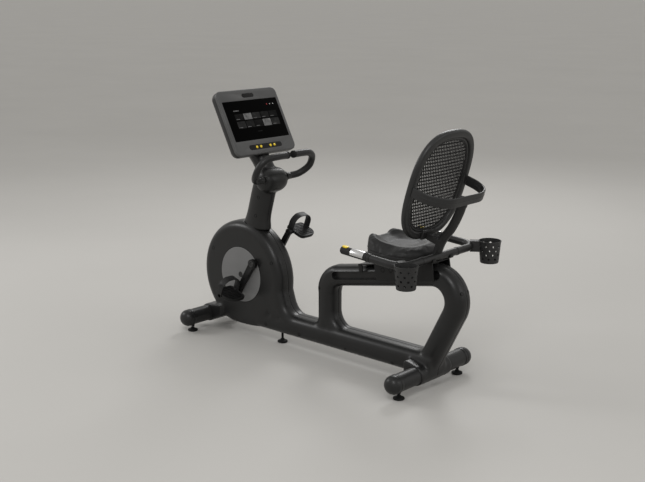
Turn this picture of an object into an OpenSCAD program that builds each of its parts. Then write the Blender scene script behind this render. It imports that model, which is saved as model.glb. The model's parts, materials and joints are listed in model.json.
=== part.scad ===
// Recumbent exercise bike with a step-through frame, a sliding seat and a touch console.
// +X points to the front, +Y to the rider's left, +Z up; the floor is the plane Z = 0.
// The origin lies on the floor below the middle of the machine.

/* [Base and stabilisers] */
// Distance between the front and the rear stabiliser tube
tube_spacing = 1310; // [1280:1:1330]
// Outer diameter of the stabiliser tubes
tube_d = 76; // [60:1:84]
// Wall of the stabiliser tubes
tube_wall = 3; // [2:0.5:6]
// Height of the tube centres above the floor
tube_z = 71; // [64:1:80]
// Length of the front stabiliser without its end caps
front_tube_length = 420; // [360:1:520]
// Length of the rear stabiliser without its end caps
rear_tube_length = 500; // [420:1:600]
// Diameter of the pads of the levelling feet
foot_d = 48; // [40:1:70]
// Distance from the middle to each rear levelling foot
rear_foot_y = 203; // [150:1:225]
// Distance from the middle to each front levelling foot
front_foot_y = 170; // [140:1:180]
// Diameter of the transport wheels
wheel_d = 50; // [42:1:54]

/* [Shroud] */
// Half of the width of the base and of the drive housing
base_half = 60; // [54:1:66]
// Half of the width of the loop that carries the seat
loop_half = 50; // [47:1:52]
// Radius that rounds the long edges of the shroud
edge_r = 38; // [20:1:38]
// Height of the underside of the base above the floor
base_bottom = 58; // [54:1:62]
// Height of the base beam
base_height = 100; // [90:1:108]
// Radius of the round drive housing
disc_r = 263; // [250:1:268]
// Radius of the grey cover in the middle of the drive housing
cover_r = 134; // [125:1:142]
// Slope of the seat rail, rising to the rear
rail_pitch = 10.35; // [8:0.05:12]

/* [Drive] */
// Length of the crank arms from axle to pedal axis
crank_length = 172; // [160:1:176]
// Angle of the left crank below the forward direction
crank_angle = 57; // [0:1:90]
// Diameter of the crank axle
axle_d = 24; // [18:1:30]
// Diameter of the pedal spindles
spindle_d = 12; // [10:0.5:14]
// Width of a pedal across the foot
pedal_width = 114; // [90:1:118]
// Length of a pedal along the foot
pedal_length = 112; // [100:1:118]
// Radius of the flywheel block
flywheel_r = 105; // [88:1:112]

/* [Console] */
// Width of the screen
screen_w = 344; // [300:1:350]
// Height of the screen
screen_h = 194; // [170:1:196]
// Width of the console housing
console_w = 380; // [376:1:400]
// Height of the console housing
console_h = 318; // [310:1:324]
// Backward tilt of the screen from upright
console_tilt = 27.6; // [20:0.1:35]
// Diameter of the handlebar tubes
bar_d = 32; // [26:1:36]

/* [Seat] */
// Length of the seat cushion
seat_length = 282; // [265:1:284]
// Width of the seat cushion
seat_width = 276; // [260:1:300]
// Width of the backrest
back_width = 386; // [360:1:410]
// Height of the backrest along its slope
back_height = 477; // [450:1:500]
// Recline of the backrest from upright
back_recline = 17.4; // [12:0.1:22]
// Upper inside diameter of the cup holders
cup_top_d = 90; // [80:1:92]
// Lower outside diameter of the cup holders
cup_bottom_d = 78; // [70:1:80]
// Height of the cup holders
cup_height = 96; // [85:1:110]
// Wall of the cup holders
cup_wall = 2.5; // [2:0.1:4]

/* [Hidden] */

CHARCOAL = [0.20, 0.20, 0.20];
BLACK = [0.09, 0.09, 0.09];
GREY = [0.42, 0.42, 0.41];
DARK_GREY = [0.32, 0.32, 0.32];
SILVER = [0.78, 0.78, 0.77];
YELLOW = [0.95, 0.83, 0.15];

// Radial gap of a shaft that turns in its bearing
bearing_gap = 0.05;
// Gap between fixed curved parts that only seat on each other
seat_gap = 0.3;
// Roundness of exact round parts
round_fn = 64;

// --- Main stations along X ---
front_x = tube_spacing / 2;
rear_x = -tube_spacing / 2;
base_top = base_bottom + base_height;
wheel_gap = 3;
wheel_x = front_x + tube_d / 2 + wheel_gap + wheel_d / 2;
rear_bend_x = -687;
rear_bend_r = 150;
front_end = wheel_x + wheel_d / 2;
rear_end = rear_bend_x - rear_bend_r;
origin_shift = -(front_end + rear_end) / 2;

// --- Drive housing ---
disc_x = 430;
disc_z = 298;
cover_x = 424;
cover_z = 304;
cover_thickness = 4;
cover_recess = 3;
crank_x = 327;
crank_z = 374;
axle_hole_r = axle_d / 2 + 3;
flywheel_half = 20;

// --- Cranks and pedals ---
crank_gap = 6;
crank_thickness = 16;
crank_inner = base_half + cover_thickness - cover_recess + crank_gap;
crank_outer = crank_inner + crank_thickness;
pedal_gap = 6;
pedal_inner = crank_outer + pedal_gap;
pedal_thickness = 22;
pedal_tilt = -20;
strap_height = 80;
strap_x = 8;
pedal_x = -16;
strap_width = 36;
strap_thickness = 3;

// --- Mast, pod and neck ---
mast_lean = -0.293;
mast_bottom_z = 528;
mast_top_z = 735;
mast_x0 = 365;
mast_half_x = 70;
mast_half_y = 39;
pod_x = 268;
pod_z = 772;
pod_r = 57;
pod_half = 72;
bar_start_y = 62;

// --- Console ---
screen_centre = [365, 0, 1044];
console_low = -166;
console_corner = 30;
bezel_depth = 14;
back_depth = 40;

// --- Rail, carriage and seat ---
rail_centre = [-271, 0, 416.5];
rail_height = 97;
slot_front = 122;
slot_rear = -470;
slot_z = 5;
slot_height = 36;
slot_depth = 20;
roller_r = slot_height / 2 - 3;
carriage_front = -50;
carriage_rear = -448;
plate_front = -140;
plate_thickness = 6;
top_plate_thickness = 5;
carriage_gap = 5;

seat_x = -506;
seat_z = 545;
seat_height = 54;
lobe_height = 46;

back_centre = [-682, 0, 865];
back_rim = 34;
back_power = 2.73;
back_thickness = 26;
mesh_thickness = 5;

arm_y = 254;
corner_x = -694;
corner_z = 571;
corner_r = 64;
seat_bar_d = 32;
grip_front_x = -386;
grip_front_z = 594;
grip_rear_x = -528;

cup_centre = [-746, 286, 596];

// --- Helpers ---
function unit(v) = v / norm(v);

// Arc of radius r that rounds the corner b between its neighbours a and c
function corner_arc(a, b, c, r, step) =
    let (
        u = unit(a - b),
        v = unit(c - b),
        half = acos(u * v) / 2,
        reach = r / tan(half),
        centre = b + unit(u + v) * r / sin(half),
        p0 = b + u * reach,
        p1 = b + v * reach,
        a0 = atan2(p0.y - centre.y, p0.x - centre.x),
        a1 = atan2(p1.y - centre.y, p1.x - centre.x),
        turn = a1 - a0 > 180 ? a1 - a0 - 360 : a1 - a0 < -180 ? a1 - a0 + 360 : a1 - a0,
        n = max(1, ceil(abs(turn) / step)))
    r == 0 ? [b] : [for (i = [0:n]) centre + r * [cos(a0 + turn * i / n), sin(a0 + turn * i / n)]];

// Closed outline through corners [x, y, radius]
function rounded(corners, step = 10) =
    let (n = len(corners), flat = [for (c = corners) [c.x, c.y]])
    [for (i = [0:n - 1])
        each corner_arc(flat[(i + n - 1) % n], flat[i], flat[(i + 1) % n], corners[i].z, step)];

// Closed outline moved inwards by d, for corners listed anticlockwise
function inset(p, d) =
    let (n = len(p))
    [for (i = [0:n - 1])
        let (
            e0 = unit(p[i] - p[(i + n - 1) % n]),
            e1 = unit(p[(i + 1) % n] - p[i]),
            m = [-(e0.y + e1.y), e0.x + e1.x] / 2)
        p[i] + d * m / (m * m)];

// Solid through a stack of rings that all have the same number of points
module skin(rings) {
    n = len(rings[0]);
    levels = len(rings);
    sides = [for (k = [0:levels - 2], i = [0:n - 1])
        let (a = k * n + i, b = k * n + (i + 1) % n)
        each [[a, a + n, b + n], [a, b + n, b]]];
    last = (levels - 1) * n;
    caps = [[for (i = [0:n - 1]) i], [for (i = [n - 1:-1:0]) last + i]];
    polyhedron([for (r = rings) each r], concat(sides, caps), convexity = 6);
}

function lift(p, z) = [for (q = p) [q.x, q.y, z]];

// Half bodies of the shroud start this far past the middle plane and are then cut there
past_middle = 5;
// Straight bars and fillets are slimmer than the bends by this step and run into them
slim = 0.4;
run_in = 8;

// Upper half of a bar's section, from x = inner to x = outer, with its outer edge rounded
// and its inner edge rounded too when both is true
function bar_section(inner, outer, half, r, both = true) = concat(
    [[inner, -past_middle], [outer, -past_middle]],
    [for (a = [0:22.5:90]) [outer - r + r * cos(a), half - r + r * sin(a)]],
    both
        ? [for (a = [90:22.5:180]) [inner + r + r * cos(a), half - r + r * sin(a)]]
        : [[inner, half]]);

// Straight bar in the side profile: from p, towards the angle, over a length;
// the section's x points to the left of the bar's direction
module bar(p, angle, length, section) {
    translate(p)
        rotate([0, 0, angle])
            rotate([90, 0, 90])
                linear_extrude(length) polygon(section);
}

// Curved bar in the side profile: the section turns about c from one angle to another
module bend(c, from, to, section) {
    translate(c)
        rotate([0, 0, from])
            rotate_extrude(angle = to - from, $fn = 96) polygon(section);
}

// Round tube along a path of points; side is a direction that the path never runs along
module swept_tube(path, r, side = [0, 0, 1], sides = 16) {
    last = len(path) - 1;
    skin([for (i = [0:last])
        let (
            t = unit(path[min(i + 1, last)] - path[max(i - 1, 0)]),
            u = unit(cross(side, t)),
            v = cross(t, u))
        [for (k = [0:sides - 1])
            path[i] + r * (cos(360 * k / sides) * u + sin(360 * k / sides) * v)]]);
}

// Smooth path through points: Catmull-Rom segments with n steps each
function smooth_path(p, n = 5) =
    let (last = len(p) - 1)
    concat(
        [for (i = [0:last - 1], k = [0:n - 1])
            let (
                a = p[max(i - 1, 0)],
                b = p[i],
                c = p[i + 1],
                d = p[min(i + 2, last)],
                t = k / n)
            0.5 * (2 * b + (c - a) * t + (2 * a - 5 * b + 4 * c - d) * t * t
                + (3 * b - a - 3 * c + d) * t * t * t)],
        [p[last]]);

module placed() {
    translate([origin_shift, 0, 0]) children();
}

// Upright side profile to the left half; the right half is its mirror image
module side_view() {
    mirror([0, 1, 0]) rotate([90, 0, 0]) children();
}

module both_sides() {
    children();
    mirror([0, 1, 0]) children();
}

module handed(side) {
    if (side > 0) {
        children();
    } else {
        mirror([0, 1, 0]) children();
    }
}

// Frame of the seat rail: x runs forward along it and z stands square on it
module on_rail() {
    translate(rail_centre) rotate([0, rail_pitch, 0]) children();
}

// Frame of the screen: x to the rider's right, y up the screen, z towards the rider
module on_screen() {
    translate(screen_centre) rotate([90 - console_tilt, 0, -90]) children();
}

// --- Stabilisers ---
module stabiliser(x, length) {
    color(CHARCOAL)
        translate([x, length / 2, tube_z])
            rotate([90, 0, 0])
                difference() {
                    cylinder(d = tube_d, h = length, $fn = round_fn);
                    translate([0, 0, -1])
                        cylinder(d = tube_d - 2 * tube_wall, h = length + 2, $fn = round_fn);
                }
}

module front_stabiliser() {
    placed()
        difference() {
            stabiliser(front_x, front_tube_length);
            foot_holes(front_x, front_foot_y);
        }
}

module rear_stabiliser() {
    placed()
        difference() {
            stabiliser(rear_x, rear_tube_length);
            foot_holes(rear_x, rear_foot_y);
        }
}

foot_stem_d = 12;
foot_pad_h = 12;

module foot_holes(x, y) {
    for (side = [-1, 1])
        translate([x, side * y, 0])
            cylinder(d = foot_stem_d, h = tube_z, $fn = 32);
}

cap_plug = 20;
cap_skirt = 34;
cap_dome = 14;
cap_lip = 2;

// Plastic cap: a skirt over the tube end, a domed face and a plug inside
module end_cap(x, length, side) {
    outer = tube_d / 2 + cap_lip;
    handed(side)
        color(CHARCOAL)
            translate([x, length / 2, tube_z])
                rotate([-90, 0, 0])
                    rotate_extrude($fn = round_fn)
                        polygon(concat(
                            [[0, -cap_plug], [tube_d / 2 - tube_wall, -cap_plug],
                             [tube_d / 2 - tube_wall, 0], [tube_d / 2, 0],
                             [tube_d / 2, -cap_skirt], [outer, -cap_skirt]],
                            [for (a = [0:10:90])
                                [outer - cap_dome * (1 - cos(a)), cap_dome * sin(a)]],
                            [[0, cap_dome + 3]]));
}

module front_left_end_cap() placed() end_cap(front_x, front_tube_length, 1);
module front_right_end_cap() placed() end_cap(front_x, front_tube_length, -1);
module rear_left_end_cap() placed() end_cap(rear_x, rear_tube_length, 1);
module rear_right_end_cap() placed() end_cap(rear_x, rear_tube_length, -1);

// Levelling foot: a round rubber pad on a threaded stem with its lock nut
module levelling_foot(x, y, top) {
    color(BLACK)
        translate([x, y, 0]) {
            cylinder(d = foot_d, h = foot_pad_h * 0.6, $fn = round_fn);
            translate([0, 0, foot_pad_h * 0.6])
                cylinder(d1 = foot_d, d2 = foot_d * 0.5, h = foot_pad_h * 0.4, $fn = round_fn);
            cylinder(d = foot_stem_d, h = top, $fn = 32);
        }
}

tube_foot_top = tube_z - 20;
module front_left_foot() placed() levelling_foot(front_x, front_foot_y, tube_foot_top);
module front_right_foot() placed() levelling_foot(front_x, -front_foot_y, tube_foot_top);
module rear_left_foot() placed() levelling_foot(rear_x, rear_foot_y, tube_foot_top);
module rear_right_foot() placed() levelling_foot(rear_x, -rear_foot_y, tube_foot_top);

middle_foot_x = 207;
middle_foot_depth = 25;
module middle_foot() placed() levelling_foot(middle_foot_x, 0, base_bottom + middle_foot_depth);

// --- Transport wheels ---
wheel_z = 46;
wheel_y = 105;
wheel_width = 22;
wheel_pin_d = 8;
fork_thickness = 4;
fork_gap = 1;

module wheel_bracket() {
    color(CHARCOAL) placed()
        both_sides()
            translate([0, wheel_y, 0])
                difference() {
                    union() {
                        for (side = [-1, 1])
                            translate([0, side * (wheel_width / 2 + fork_gap + fork_thickness / 2), 0])
                                fork_plate();
                        translate([wheel_x, wheel_width, wheel_z])
                            rotate([90, 0, 0])
                                cylinder(d = wheel_pin_d, h = 2 * wheel_width, $fn = 32);
                    }
                    translate([front_x, wheel_width + 20, tube_z])
                        rotate([90, 0, 0])
                            cylinder(d = tube_d + 0.02, h = 2 * wheel_width + 40, $fn = round_fn);
                }
}

module fork_plate() {
    translate([0, fork_thickness / 2, 0])
        rotate([90, 0, 0])
            linear_extrude(fork_thickness)
                polygon(rounded([
                    [front_x + tube_d / 2 - 12, wheel_z - 12, 0],
                    [wheel_x + 12, wheel_z - 12, 10],
                    [wheel_x + 12, wheel_z + 12, 10],
                    [front_x + tube_d / 2 - 12, tube_z + 18, 0]]));
}

module transport_wheel(side) {
    color(BLACK) placed()
        translate([wheel_x, side * wheel_y - wheel_width / 2, wheel_z])
            rotate([-90, 0, 0])
                difference() {
                    rotate_extrude($fn = round_fn)
                        polygon(rounded([
                            [0, 0, 0], [wheel_d / 2, 0, 4],
                            [wheel_d / 2, wheel_width, 4], [0, wheel_width, 0]], 15));
                    translate([0, 0, -1])
                        cylinder(d = wheel_pin_d + 2 * bearing_gap, h = wheel_width + 2, $fn = 32);
                }
}

module left_transport_wheel() transport_wheel(1);
module right_transport_wheel() transport_wheel(-1);

// --- Shroud ---
// Rear flank of the drive housing: a line that falls steeply to the base
flank_angle = 71.5;
flank_arc = [413, 361];
flank_r = 200;
flank_fillet = 75;
flank_depth = 95;

// Loop that carries the seat: front leg, hump, rail, rear bend and rear leg
loop_width = 96;
loop_front = -47;
hump_r = 130;
rear_leg_angle = 207;
fillet_depth = 48;
window_front_fillet = 72;
window_rear_fillet = 40;
step_fillet = 30;

flank_normal = [cos(180 - 90 + flank_angle), sin(180 - 90 + flank_angle)];
flank_top = flank_arc + flank_r * flank_normal;
flank_length = (flank_top.y - base_top) / sin(flank_angle);
flank_foot = flank_top - flank_length * [cos(flank_angle), sin(flank_angle)];
flank_fillet_reach = flank_fillet * tan(flank_angle / 2);
flank_fillet_centre = [flank_foot.x - flank_fillet_reach, base_top + flank_fillet];

rail_normal = [sin(rail_pitch), cos(rail_pitch)];
rail_back = [-cos(rail_pitch), sin(rail_pitch)];
rail_mid = [rail_centre.x, rail_centre.z];
function on_rail_line(x) = rail_mid + (rail_mid.x - x) / cos(rail_pitch) * [-cos(rail_pitch), sin(rail_pitch)];
hump_centre = on_rail_line(loop_front - hump_r + (hump_r - loop_width / 2) * rail_normal.x)
    - (hump_r - loop_width / 2) * rail_normal;
rear_centre = on_rail_line(rear_bend_x + (rear_bend_r - loop_width / 2) * rail_normal.x)
    - (rear_bend_r - loop_width / 2) * rail_normal;
rear_leg_top = rear_centre
    + (rear_bend_r - loop_width) * [cos(rear_leg_angle), sin(rear_leg_angle)];
rear_leg_length = (rear_leg_top.y - base_bottom - 30) / cos(rear_leg_angle - 180);
// The inner face of the leg meets the top of the base here
rear_leg_foot_x = rear_leg_top.x + (rear_leg_top.y - base_top) * tan(rear_leg_angle - 180);

function slot_outline() = rounded([
    [slot_rear, slot_z - slot_height / 2, 17],
    [slot_front, slot_z - slot_height / 2, 17],
    [slot_front, slot_z + slot_height / 2, 17],
    [slot_rear, slot_z + slot_height / 2, 17]]);

saddle_r = tube_d / 2 + 6;
front_saddle_half = 72;
rear_saddle_half = 104;

// Collar that wraps a stabiliser tube and reaches back to the base
module saddle(x, half, reach) {
    translate([0, 0, -past_middle]) linear_extrude(half + past_middle)
        union() {
            translate([x, tube_z]) circle(r = saddle_r, $fn = round_fn);
            polygon([
                [x, tube_z - saddle_r], [x, tube_z + saddle_r],
                [x + reach, base_top - 30], [x + reach, base_bottom + 12]]);
        }
}

// Base beam with the round drive housing and its rear flank
module base_half_body() {
    edge = bar_section(0, disc_r, base_half, edge_r, false);
    difference() {
        union() {
            translate([disc_x, disc_z]) rotate_extrude($fn = 96) polygon(edge);
            translate(flank_arc)
                rotate_extrude($fn = 96)
                    polygon(bar_section(0, flank_r, base_half, edge_r, false));
            bar([base_rear_x, base_bottom], 0, base_front_x - base_rear_x,
                bar_section(0, base_height, base_half, edge_r));
            bar(flank_foot, flank_angle, flank_length + run_in,
                bar_section(-flank_depth, -slim, base_half - slim, edge_r, false));
            bend(flank_fillet_centre, -90, flank_angle - 90,
                concave_section(flank_fillet + slim, fillet_depth, base_half - slim));
        }
        translate([0, base_bottom - 200, -2 * past_middle]) cube([900, 200, 100]);
    }
}

base_rear_x = rear_x - 45;
base_front_x = disc_x + 120;

// Section of a concave fillet: the rounded edge lies at its inner radius
function concave_section(r, depth, half) = concat(
    [[r + depth, half], [r + depth, -past_middle], [r, -past_middle]],
    [for (a = [0:22.5:90]) [r + edge_r - edge_r * cos(a), half - edge_r + edge_r * sin(a)]]);

module loop_half_body() {
    across = loop_width / 2;
    leg = bar_section(slim - across, across - slim, loop_half - slim, edge_r);
    bar([loop_front - across, base_top - 60], 90, hump_centre.y - base_top + 60 + run_in, leg);
    bend(hump_centre, 0, 90 - rail_pitch,
        bar_section(hump_r - loop_width, hump_r, loop_half, edge_r * 0.9));
    bar(hump_centre + (hump_r - across) * rail_normal - run_in * rail_back, 180 - rail_pitch,
        norm(rear_centre - hump_centre + (rear_bend_r - hump_r) * rail_normal) + 2 * run_in, leg);
    bend(rear_centre, 90 - rail_pitch, rear_leg_angle,
        bar_section(rear_bend_r - loop_width, rear_bend_r, loop_half, edge_r));
    bar(rear_centre + (rear_bend_r - across) * [cos(rear_leg_angle), sin(rear_leg_angle)]
            - run_in * [-sin(rear_leg_angle), cos(rear_leg_angle)],
        rear_leg_angle + 90, rear_leg_length + run_in, leg);
    bend([loop_front - loop_width - window_front_fillet, base_top + window_front_fillet],
        -90, 0, concave_section(window_front_fillet + slim, fillet_depth, loop_half - 2 * slim));
    bend([loop_front + step_fillet, base_top + step_fillet],
        180, 270, concave_section(step_fillet + slim, fillet_depth, loop_half - 2 * slim));
    bend([rear_leg_foot_x + window_rear_fillet / tan((rear_leg_angle - 90) / 2),
          base_top + window_rear_fillet],
        rear_leg_angle, 270,
        concave_section(window_rear_fillet + 2 * slim, fillet_depth, loop_half - 2 * slim));
}

module shroud_half() {
    color(CHARCOAL) placed()
        side_view()
            difference() {
                union() {
                    base_half_body();
                    loop_half_body();
                    saddle(front_x, front_saddle_half, -100);
                    saddle(rear_x, rear_saddle_half, 60);
                }
                translate([-1000, -10, -100]) cube([2000, 800, 100]);
                translate([front_x, tube_z, -1])
                    cylinder(d = tube_d, h = 200, $fn = round_fn);
                translate([rear_x, tube_z, -1])
                    cylinder(d = tube_d, h = 200, $fn = round_fn);
                translate([cover_x, cover_z, base_half - cover_recess])
                    cylinder(r = cover_r, h = 10, $fn = 96);
                translate([crank_x, crank_z, -1])
                    cylinder(r = axle_d / 2 + bearing_gap, h = 100, $fn = round_fn);
                translate([disc_x, disc_z, -1])
                    cylinder(r = flywheel_r, h = flywheel_half + 1, $fn = 96);
                rotate([-90, 0, 0]) {
                    translate([middle_foot_x, 0, 0])
                        cylinder(d = foot_stem_d, h = base_bottom + middle_foot_depth, $fn = 32);
                    translate([0, 0, mast_bottom_z])
                        linear_extrude(100) polygon(mast_section(seat_gap));
                }
                translate([rail_centre.x, rail_centre.z, loop_half - slot_depth])
                    rotate([0, 0, -rail_pitch])
                        linear_extrude(slot_depth + 10) polygon(slot_outline());
            }
}

module left_shroud() shroud_half();
module right_shroud() mirror([0, 1, 0]) shroud_half();

module disc_cover() {
    color(GREY) placed()
        side_view()
            difference() {
                translate([cover_x, cover_z, base_half - cover_recess])
                    cylinder(r = cover_r - seat_gap, h = cover_thickness, $fn = 96);
                translate([crank_x, crank_z, 0])
                    cylinder(r = axle_hole_r, h = 100, $fn = round_fn);
            }
}

module left_disc_cover() disc_cover();
module right_disc_cover() mirror([0, 1, 0]) disc_cover();

module flywheel() {
    color(SILVER) placed()
        translate([disc_x, -flywheel_half, disc_z])
            rotate([-90, 0, 0])
                cylinder(r = flywheel_r - 1, h = 2 * flywheel_half, $fn = 96);
}

// --- Mast, pod and neck ---
mast_socket = 34;
mast_flare = 6;

// Section of the mast's foot, which stands upright in its socket in the shroud
function mast_section(grow) =
    [for (a = [0:15:345])
        [mast_x0 + (mast_half_x + mast_flare + grow) * cos(a),
         (mast_half_y + mast_flare / 2 + grow) * sin(a)]];

function mast_ring(z) =
    [for (a = [0:15:345])
        [mast_x0 + mast_lean * (z - mast_bottom_z - mast_socket) + mast_half_x * cos(a),
         mast_half_y * sin(a), z]];

module mast_body() {
    skin([
        lift(mast_section(0), mast_bottom_z),
        lift(mast_section(0), mast_bottom_z + mast_socket),
        mast_ring(mast_bottom_z + mast_socket + 50),
        mast_ring(mast_top_z + 30)]);
}

module pod_drum(r, half) {
    translate([pod_x, half, pod_z])
        rotate([90, 0, 0])
            cylinder(r = r, h = 2 * half, $fn = round_fn);
}

module mast_cover() {
    color(CHARCOAL) placed()
        difference() {
            mast_body();
            pod_drum(pod_r + seat_gap, 100);
            translate([pod_x - 200, -100, pod_z]) cube([400, 200, 200]);
        }
}

module handlebar_pod() {
    color(CHARCOAL) placed()
        difference() {
            translate([pod_x, -pod_half, pod_z])
                rotate([-90, 0, 0])
                    rotate_extrude($fn = round_fn)
                        polygon(rounded([
                            [0, 0, 0], [pod_r, 0, 12],
                            [pod_r, 2 * pod_half, 12], [0, 2 * pod_half, 0]], 15));
            both_sides()
                translate([pod_x - 20, bar_start_y, pod_z + 10])
                    rotate([-90, 0, 0])
                        cylinder(d = bar_d + 2 * seat_gap, h = 60, $fn = round_fn);
        }
}

function neck_ring(x, z, half_x, half_y) =
    [for (a = [0:10:350]) [x + half_x * cos(a), half_y * sin(a), z]];

module console_neck() {
    color(CHARCOAL) placed()
        difference() {
            skin([
                neck_ring(pod_x + 24, pod_z + 16, 48, 40),
                neck_ring(pod_x + 52, pod_z + 66, 54, 42),
                neck_ring(pod_x + 94, pod_z + 118, 58, 46),
                neck_ring(pod_x + 130, pod_z + 168, 52, 46)]);
            pod_drum(pod_r + seat_gap, 100);
            on_screen() translate([-200, -200, -bezel_depth - back_depth - 0.01])
                cube([400, 400, 400]);
        }
}

// Left handlebar: a C that leaves the pod sideways and curls back to the middle
function handlebar_path() = smooth_path([
    [pod_x - 20, bar_start_y, pod_z + 10],
    [pod_x - 20, 84, pod_z + 10],
    [pod_x - 20, 104, pod_z + 10],
    [pod_x - 40, 145, pod_z + 20],
    [pod_x - 75, 172, pod_z + 55],
    [pod_x - 100, 165, pod_z + 100],
    [pod_x - 115, 130, pod_z + 124],
    [pod_x - 120, 80, pod_z + 129],
    [pod_x - 120, 12, pod_z + 129]], 4);

module handlebar(side) {
    color(CHARCOAL) placed()
        handed(side) swept_tube(handlebar_path(), bar_d / 2, [1, 0, 0]);
}

module left_handlebar() handlebar(1);
module right_handlebar() handlebar(-1);

// --- Console ---
function console_outline(grow) = rounded([
    [-console_w / 2 - grow, console_low - grow, console_corner + grow],
    [console_w / 2 + grow, console_low - grow, console_corner + grow],
    [console_w / 2 + grow, console_low + console_h + grow, console_corner + grow],
    [-console_w / 2 - grow, console_low + console_h + grow, console_corner + grow]]);

screen_gap = 0.3;
screen_thickness = 6;
badge_size = [74, 20];
badge_y = 120;
panel_size = [208, 24];
panel_y = -132;
button_d = 13;
button_places = [-56, -30, 30, 56];

module pill(size, depth, height) {
    translate([0, 0, height])
        linear_extrude(depth)
            union() {
                square([size.x - size.y, size.y], center = true);
                for (side = [-1, 1])
                    translate([side * (size.x - size.y) / 2, 0])
                        circle(d = size.y, $fn = 48);
            }
}

module console_bezel() {
    color(DARK_GREY) placed()
        on_screen()
            difference() {
                translate([0, 0, -bezel_depth])
                    linear_extrude(bezel_depth) polygon(console_outline(0));
                translate([-screen_w / 2 - screen_gap, -screen_h / 2 - screen_gap, -screen_thickness])
                    cube([screen_w + 2 * screen_gap, screen_h + 2 * screen_gap, 20]);
                translate([0, badge_y, 0])
                    pill(badge_size + 2 * [screen_gap, screen_gap], 5, -2);
                translate([0, panel_y, 0])
                    pill(panel_size + 2 * [screen_gap, screen_gap], 5, -2);
            }
}

module screen() {
    color(BLACK) placed()
        on_screen()
            translate([-screen_w / 2, -screen_h / 2, -screen_thickness])
                cube([screen_w, screen_h, screen_thickness - 1]);
}

module badge_plate() {
    color(BLACK) placed()
        on_screen() translate([0, badge_y, 0]) pill(badge_size, 2.5, -2);
}

module button_panel() {
    color(BLACK) placed()
        on_screen() translate([0, panel_y, 0]) pill(panel_size, 2, -2);
}

module console_buttons() {
    color(YELLOW) placed()
        on_screen()
            for (x = button_places)
                translate([x, panel_y, 0]) cylinder(d = button_d, h = 2.5, $fn = 32);
}

module console_back() {
    color(CHARCOAL) placed()
        on_screen()
            translate([0, 0, -bezel_depth])
                mirror([0, 0, 1])
                    skin(concat(
                        [[for (q = console_outline(0)) [q.x, q.y, 0]]],
                        [for (a = [0:22.5:90])
                            [for (q = inset(console_outline(0), 24 * (1 - cos(a))))
                                [q.x, q.y, back_depth * (0.2 + 0.8 * sin(a))]]]));
}

// --- Drive ---
module crank_axle() {
    color(SILVER) placed()
        translate([crank_x, -crank_outer, crank_z])
            rotate([-90, 0, 0])
                cylinder(d = axle_d, h = 2 * crank_outer, $fn = round_fn);
}

// Turns its children from the straight-forward position to the crank's own angle
module at_crank(side) {
    translate([crank_x, 0, crank_z])
        rotate([0, side > 0 ? crank_angle : crank_angle + 180, 0])
            children();
}

function pedal_place(side) =
    [crank_x, 0, crank_z] + side * crank_length * [cos(crank_angle), 0, -sin(crank_angle)];

module crank(side) {
    color(BLACK) placed()
        at_crank(side)
            handed(side)
                translate([0, crank_inner, 0])
                    rotate([-90, 0, 0])
                        difference() {
                            union() {
                                cylinder(d = 46, h = crank_thickness, $fn = round_fn);
                                translate([crank_length, 0, 0])
                                    cylinder(d = 32, h = crank_thickness, $fn = round_fn);
                                linear_extrude(crank_thickness)
                                    polygon([[0, -17], [crank_length, -13],
                                             [crank_length, 13], [0, 17]]);
                            }
                            translate([0, 0, -1])
                                cylinder(d = axle_d, h = crank_thickness + 2, $fn = round_fn);
                            translate([crank_length, 0, -1])
                                cylinder(d = spindle_d + 2 * bearing_gap, h = crank_thickness + 2, $fn = 48);
                        }
}

module left_crank() crank(1);
module right_crank() crank(-1);

// Frame of a pedal: x forward, y outwards from its inner face, z up from its spindle
module at_pedal(side) {
    translate(pedal_place(side))
        handed(side)
            translate([0, pedal_inner, 0])
                rotate([0, pedal_tilt, 0])
                    children();
}

// The pedal's plate lies between the two ends of its strap
function pedal_outline() = rounded([
    [pedal_x - pedal_length / 2, strap_thickness, 24],
    [pedal_x + pedal_length / 2, strap_thickness, 12],
    [pedal_x + pedal_length / 2, pedal_width - strap_thickness, 12],
    [pedal_x - pedal_length / 2, pedal_width - strap_thickness, 46]]);

module pedal(side) {
    color(BLACK) placed()
        at_pedal(side) {
            translate([0, 0, -pedal_thickness / 2])
                linear_extrude(pedal_thickness) polygon(pedal_outline());
            translate([0, strap_thickness + 1, 0])
                rotate([90, 0, 0])
                    cylinder(d = spindle_d, h = strap_thickness + 1 + pedal_gap + crank_thickness,
                             $fn = 48);
        }
}

module left_pedal() pedal(1);
module right_pedal() pedal(-1);

// Strap: an arch over the foot that ends on the inner and the outer side of the pedal
function strap_arch(d) = rounded([
    [d, -pedal_thickness / 2 - 1, 0],
    [pedal_width - d, -pedal_thickness / 2 - 1, 0],
    [pedal_width - d, strap_height - d, 46 - d],
    [d, strap_height - d, 46 - d]]);

module pedal_strap(side) {
    color(BLACK) placed()
        at_pedal(side)
            translate([strap_x - strap_width / 2, 0, 0])
                rotate([90, 0, 90])
                    difference() {
                        linear_extrude(strap_width) polygon(strap_arch(0));
                        translate([0, 0, -1])
                            linear_extrude(strap_width + 2) polygon(strap_arch(strap_thickness));
                        translate([-10, -pedal_thickness / 2 - 20, -1])
                            cube([pedal_width + 20, 20, strap_width + 2]);
                        translate([-1, 0, strap_width / 2 - strap_x])
                            rotate([0, 90, 0])
                                cylinder(d = spindle_d + 1, h = 10, $fn = 48);
                    }
}

module left_pedal_strap() pedal_strap(1);
module right_pedal_strap() pedal_strap(-1);

// --- Seat carriage ---
plate_low = -18;
rail_top = rail_height / 2;
plate_inner = loop_half + carriage_gap;

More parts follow.
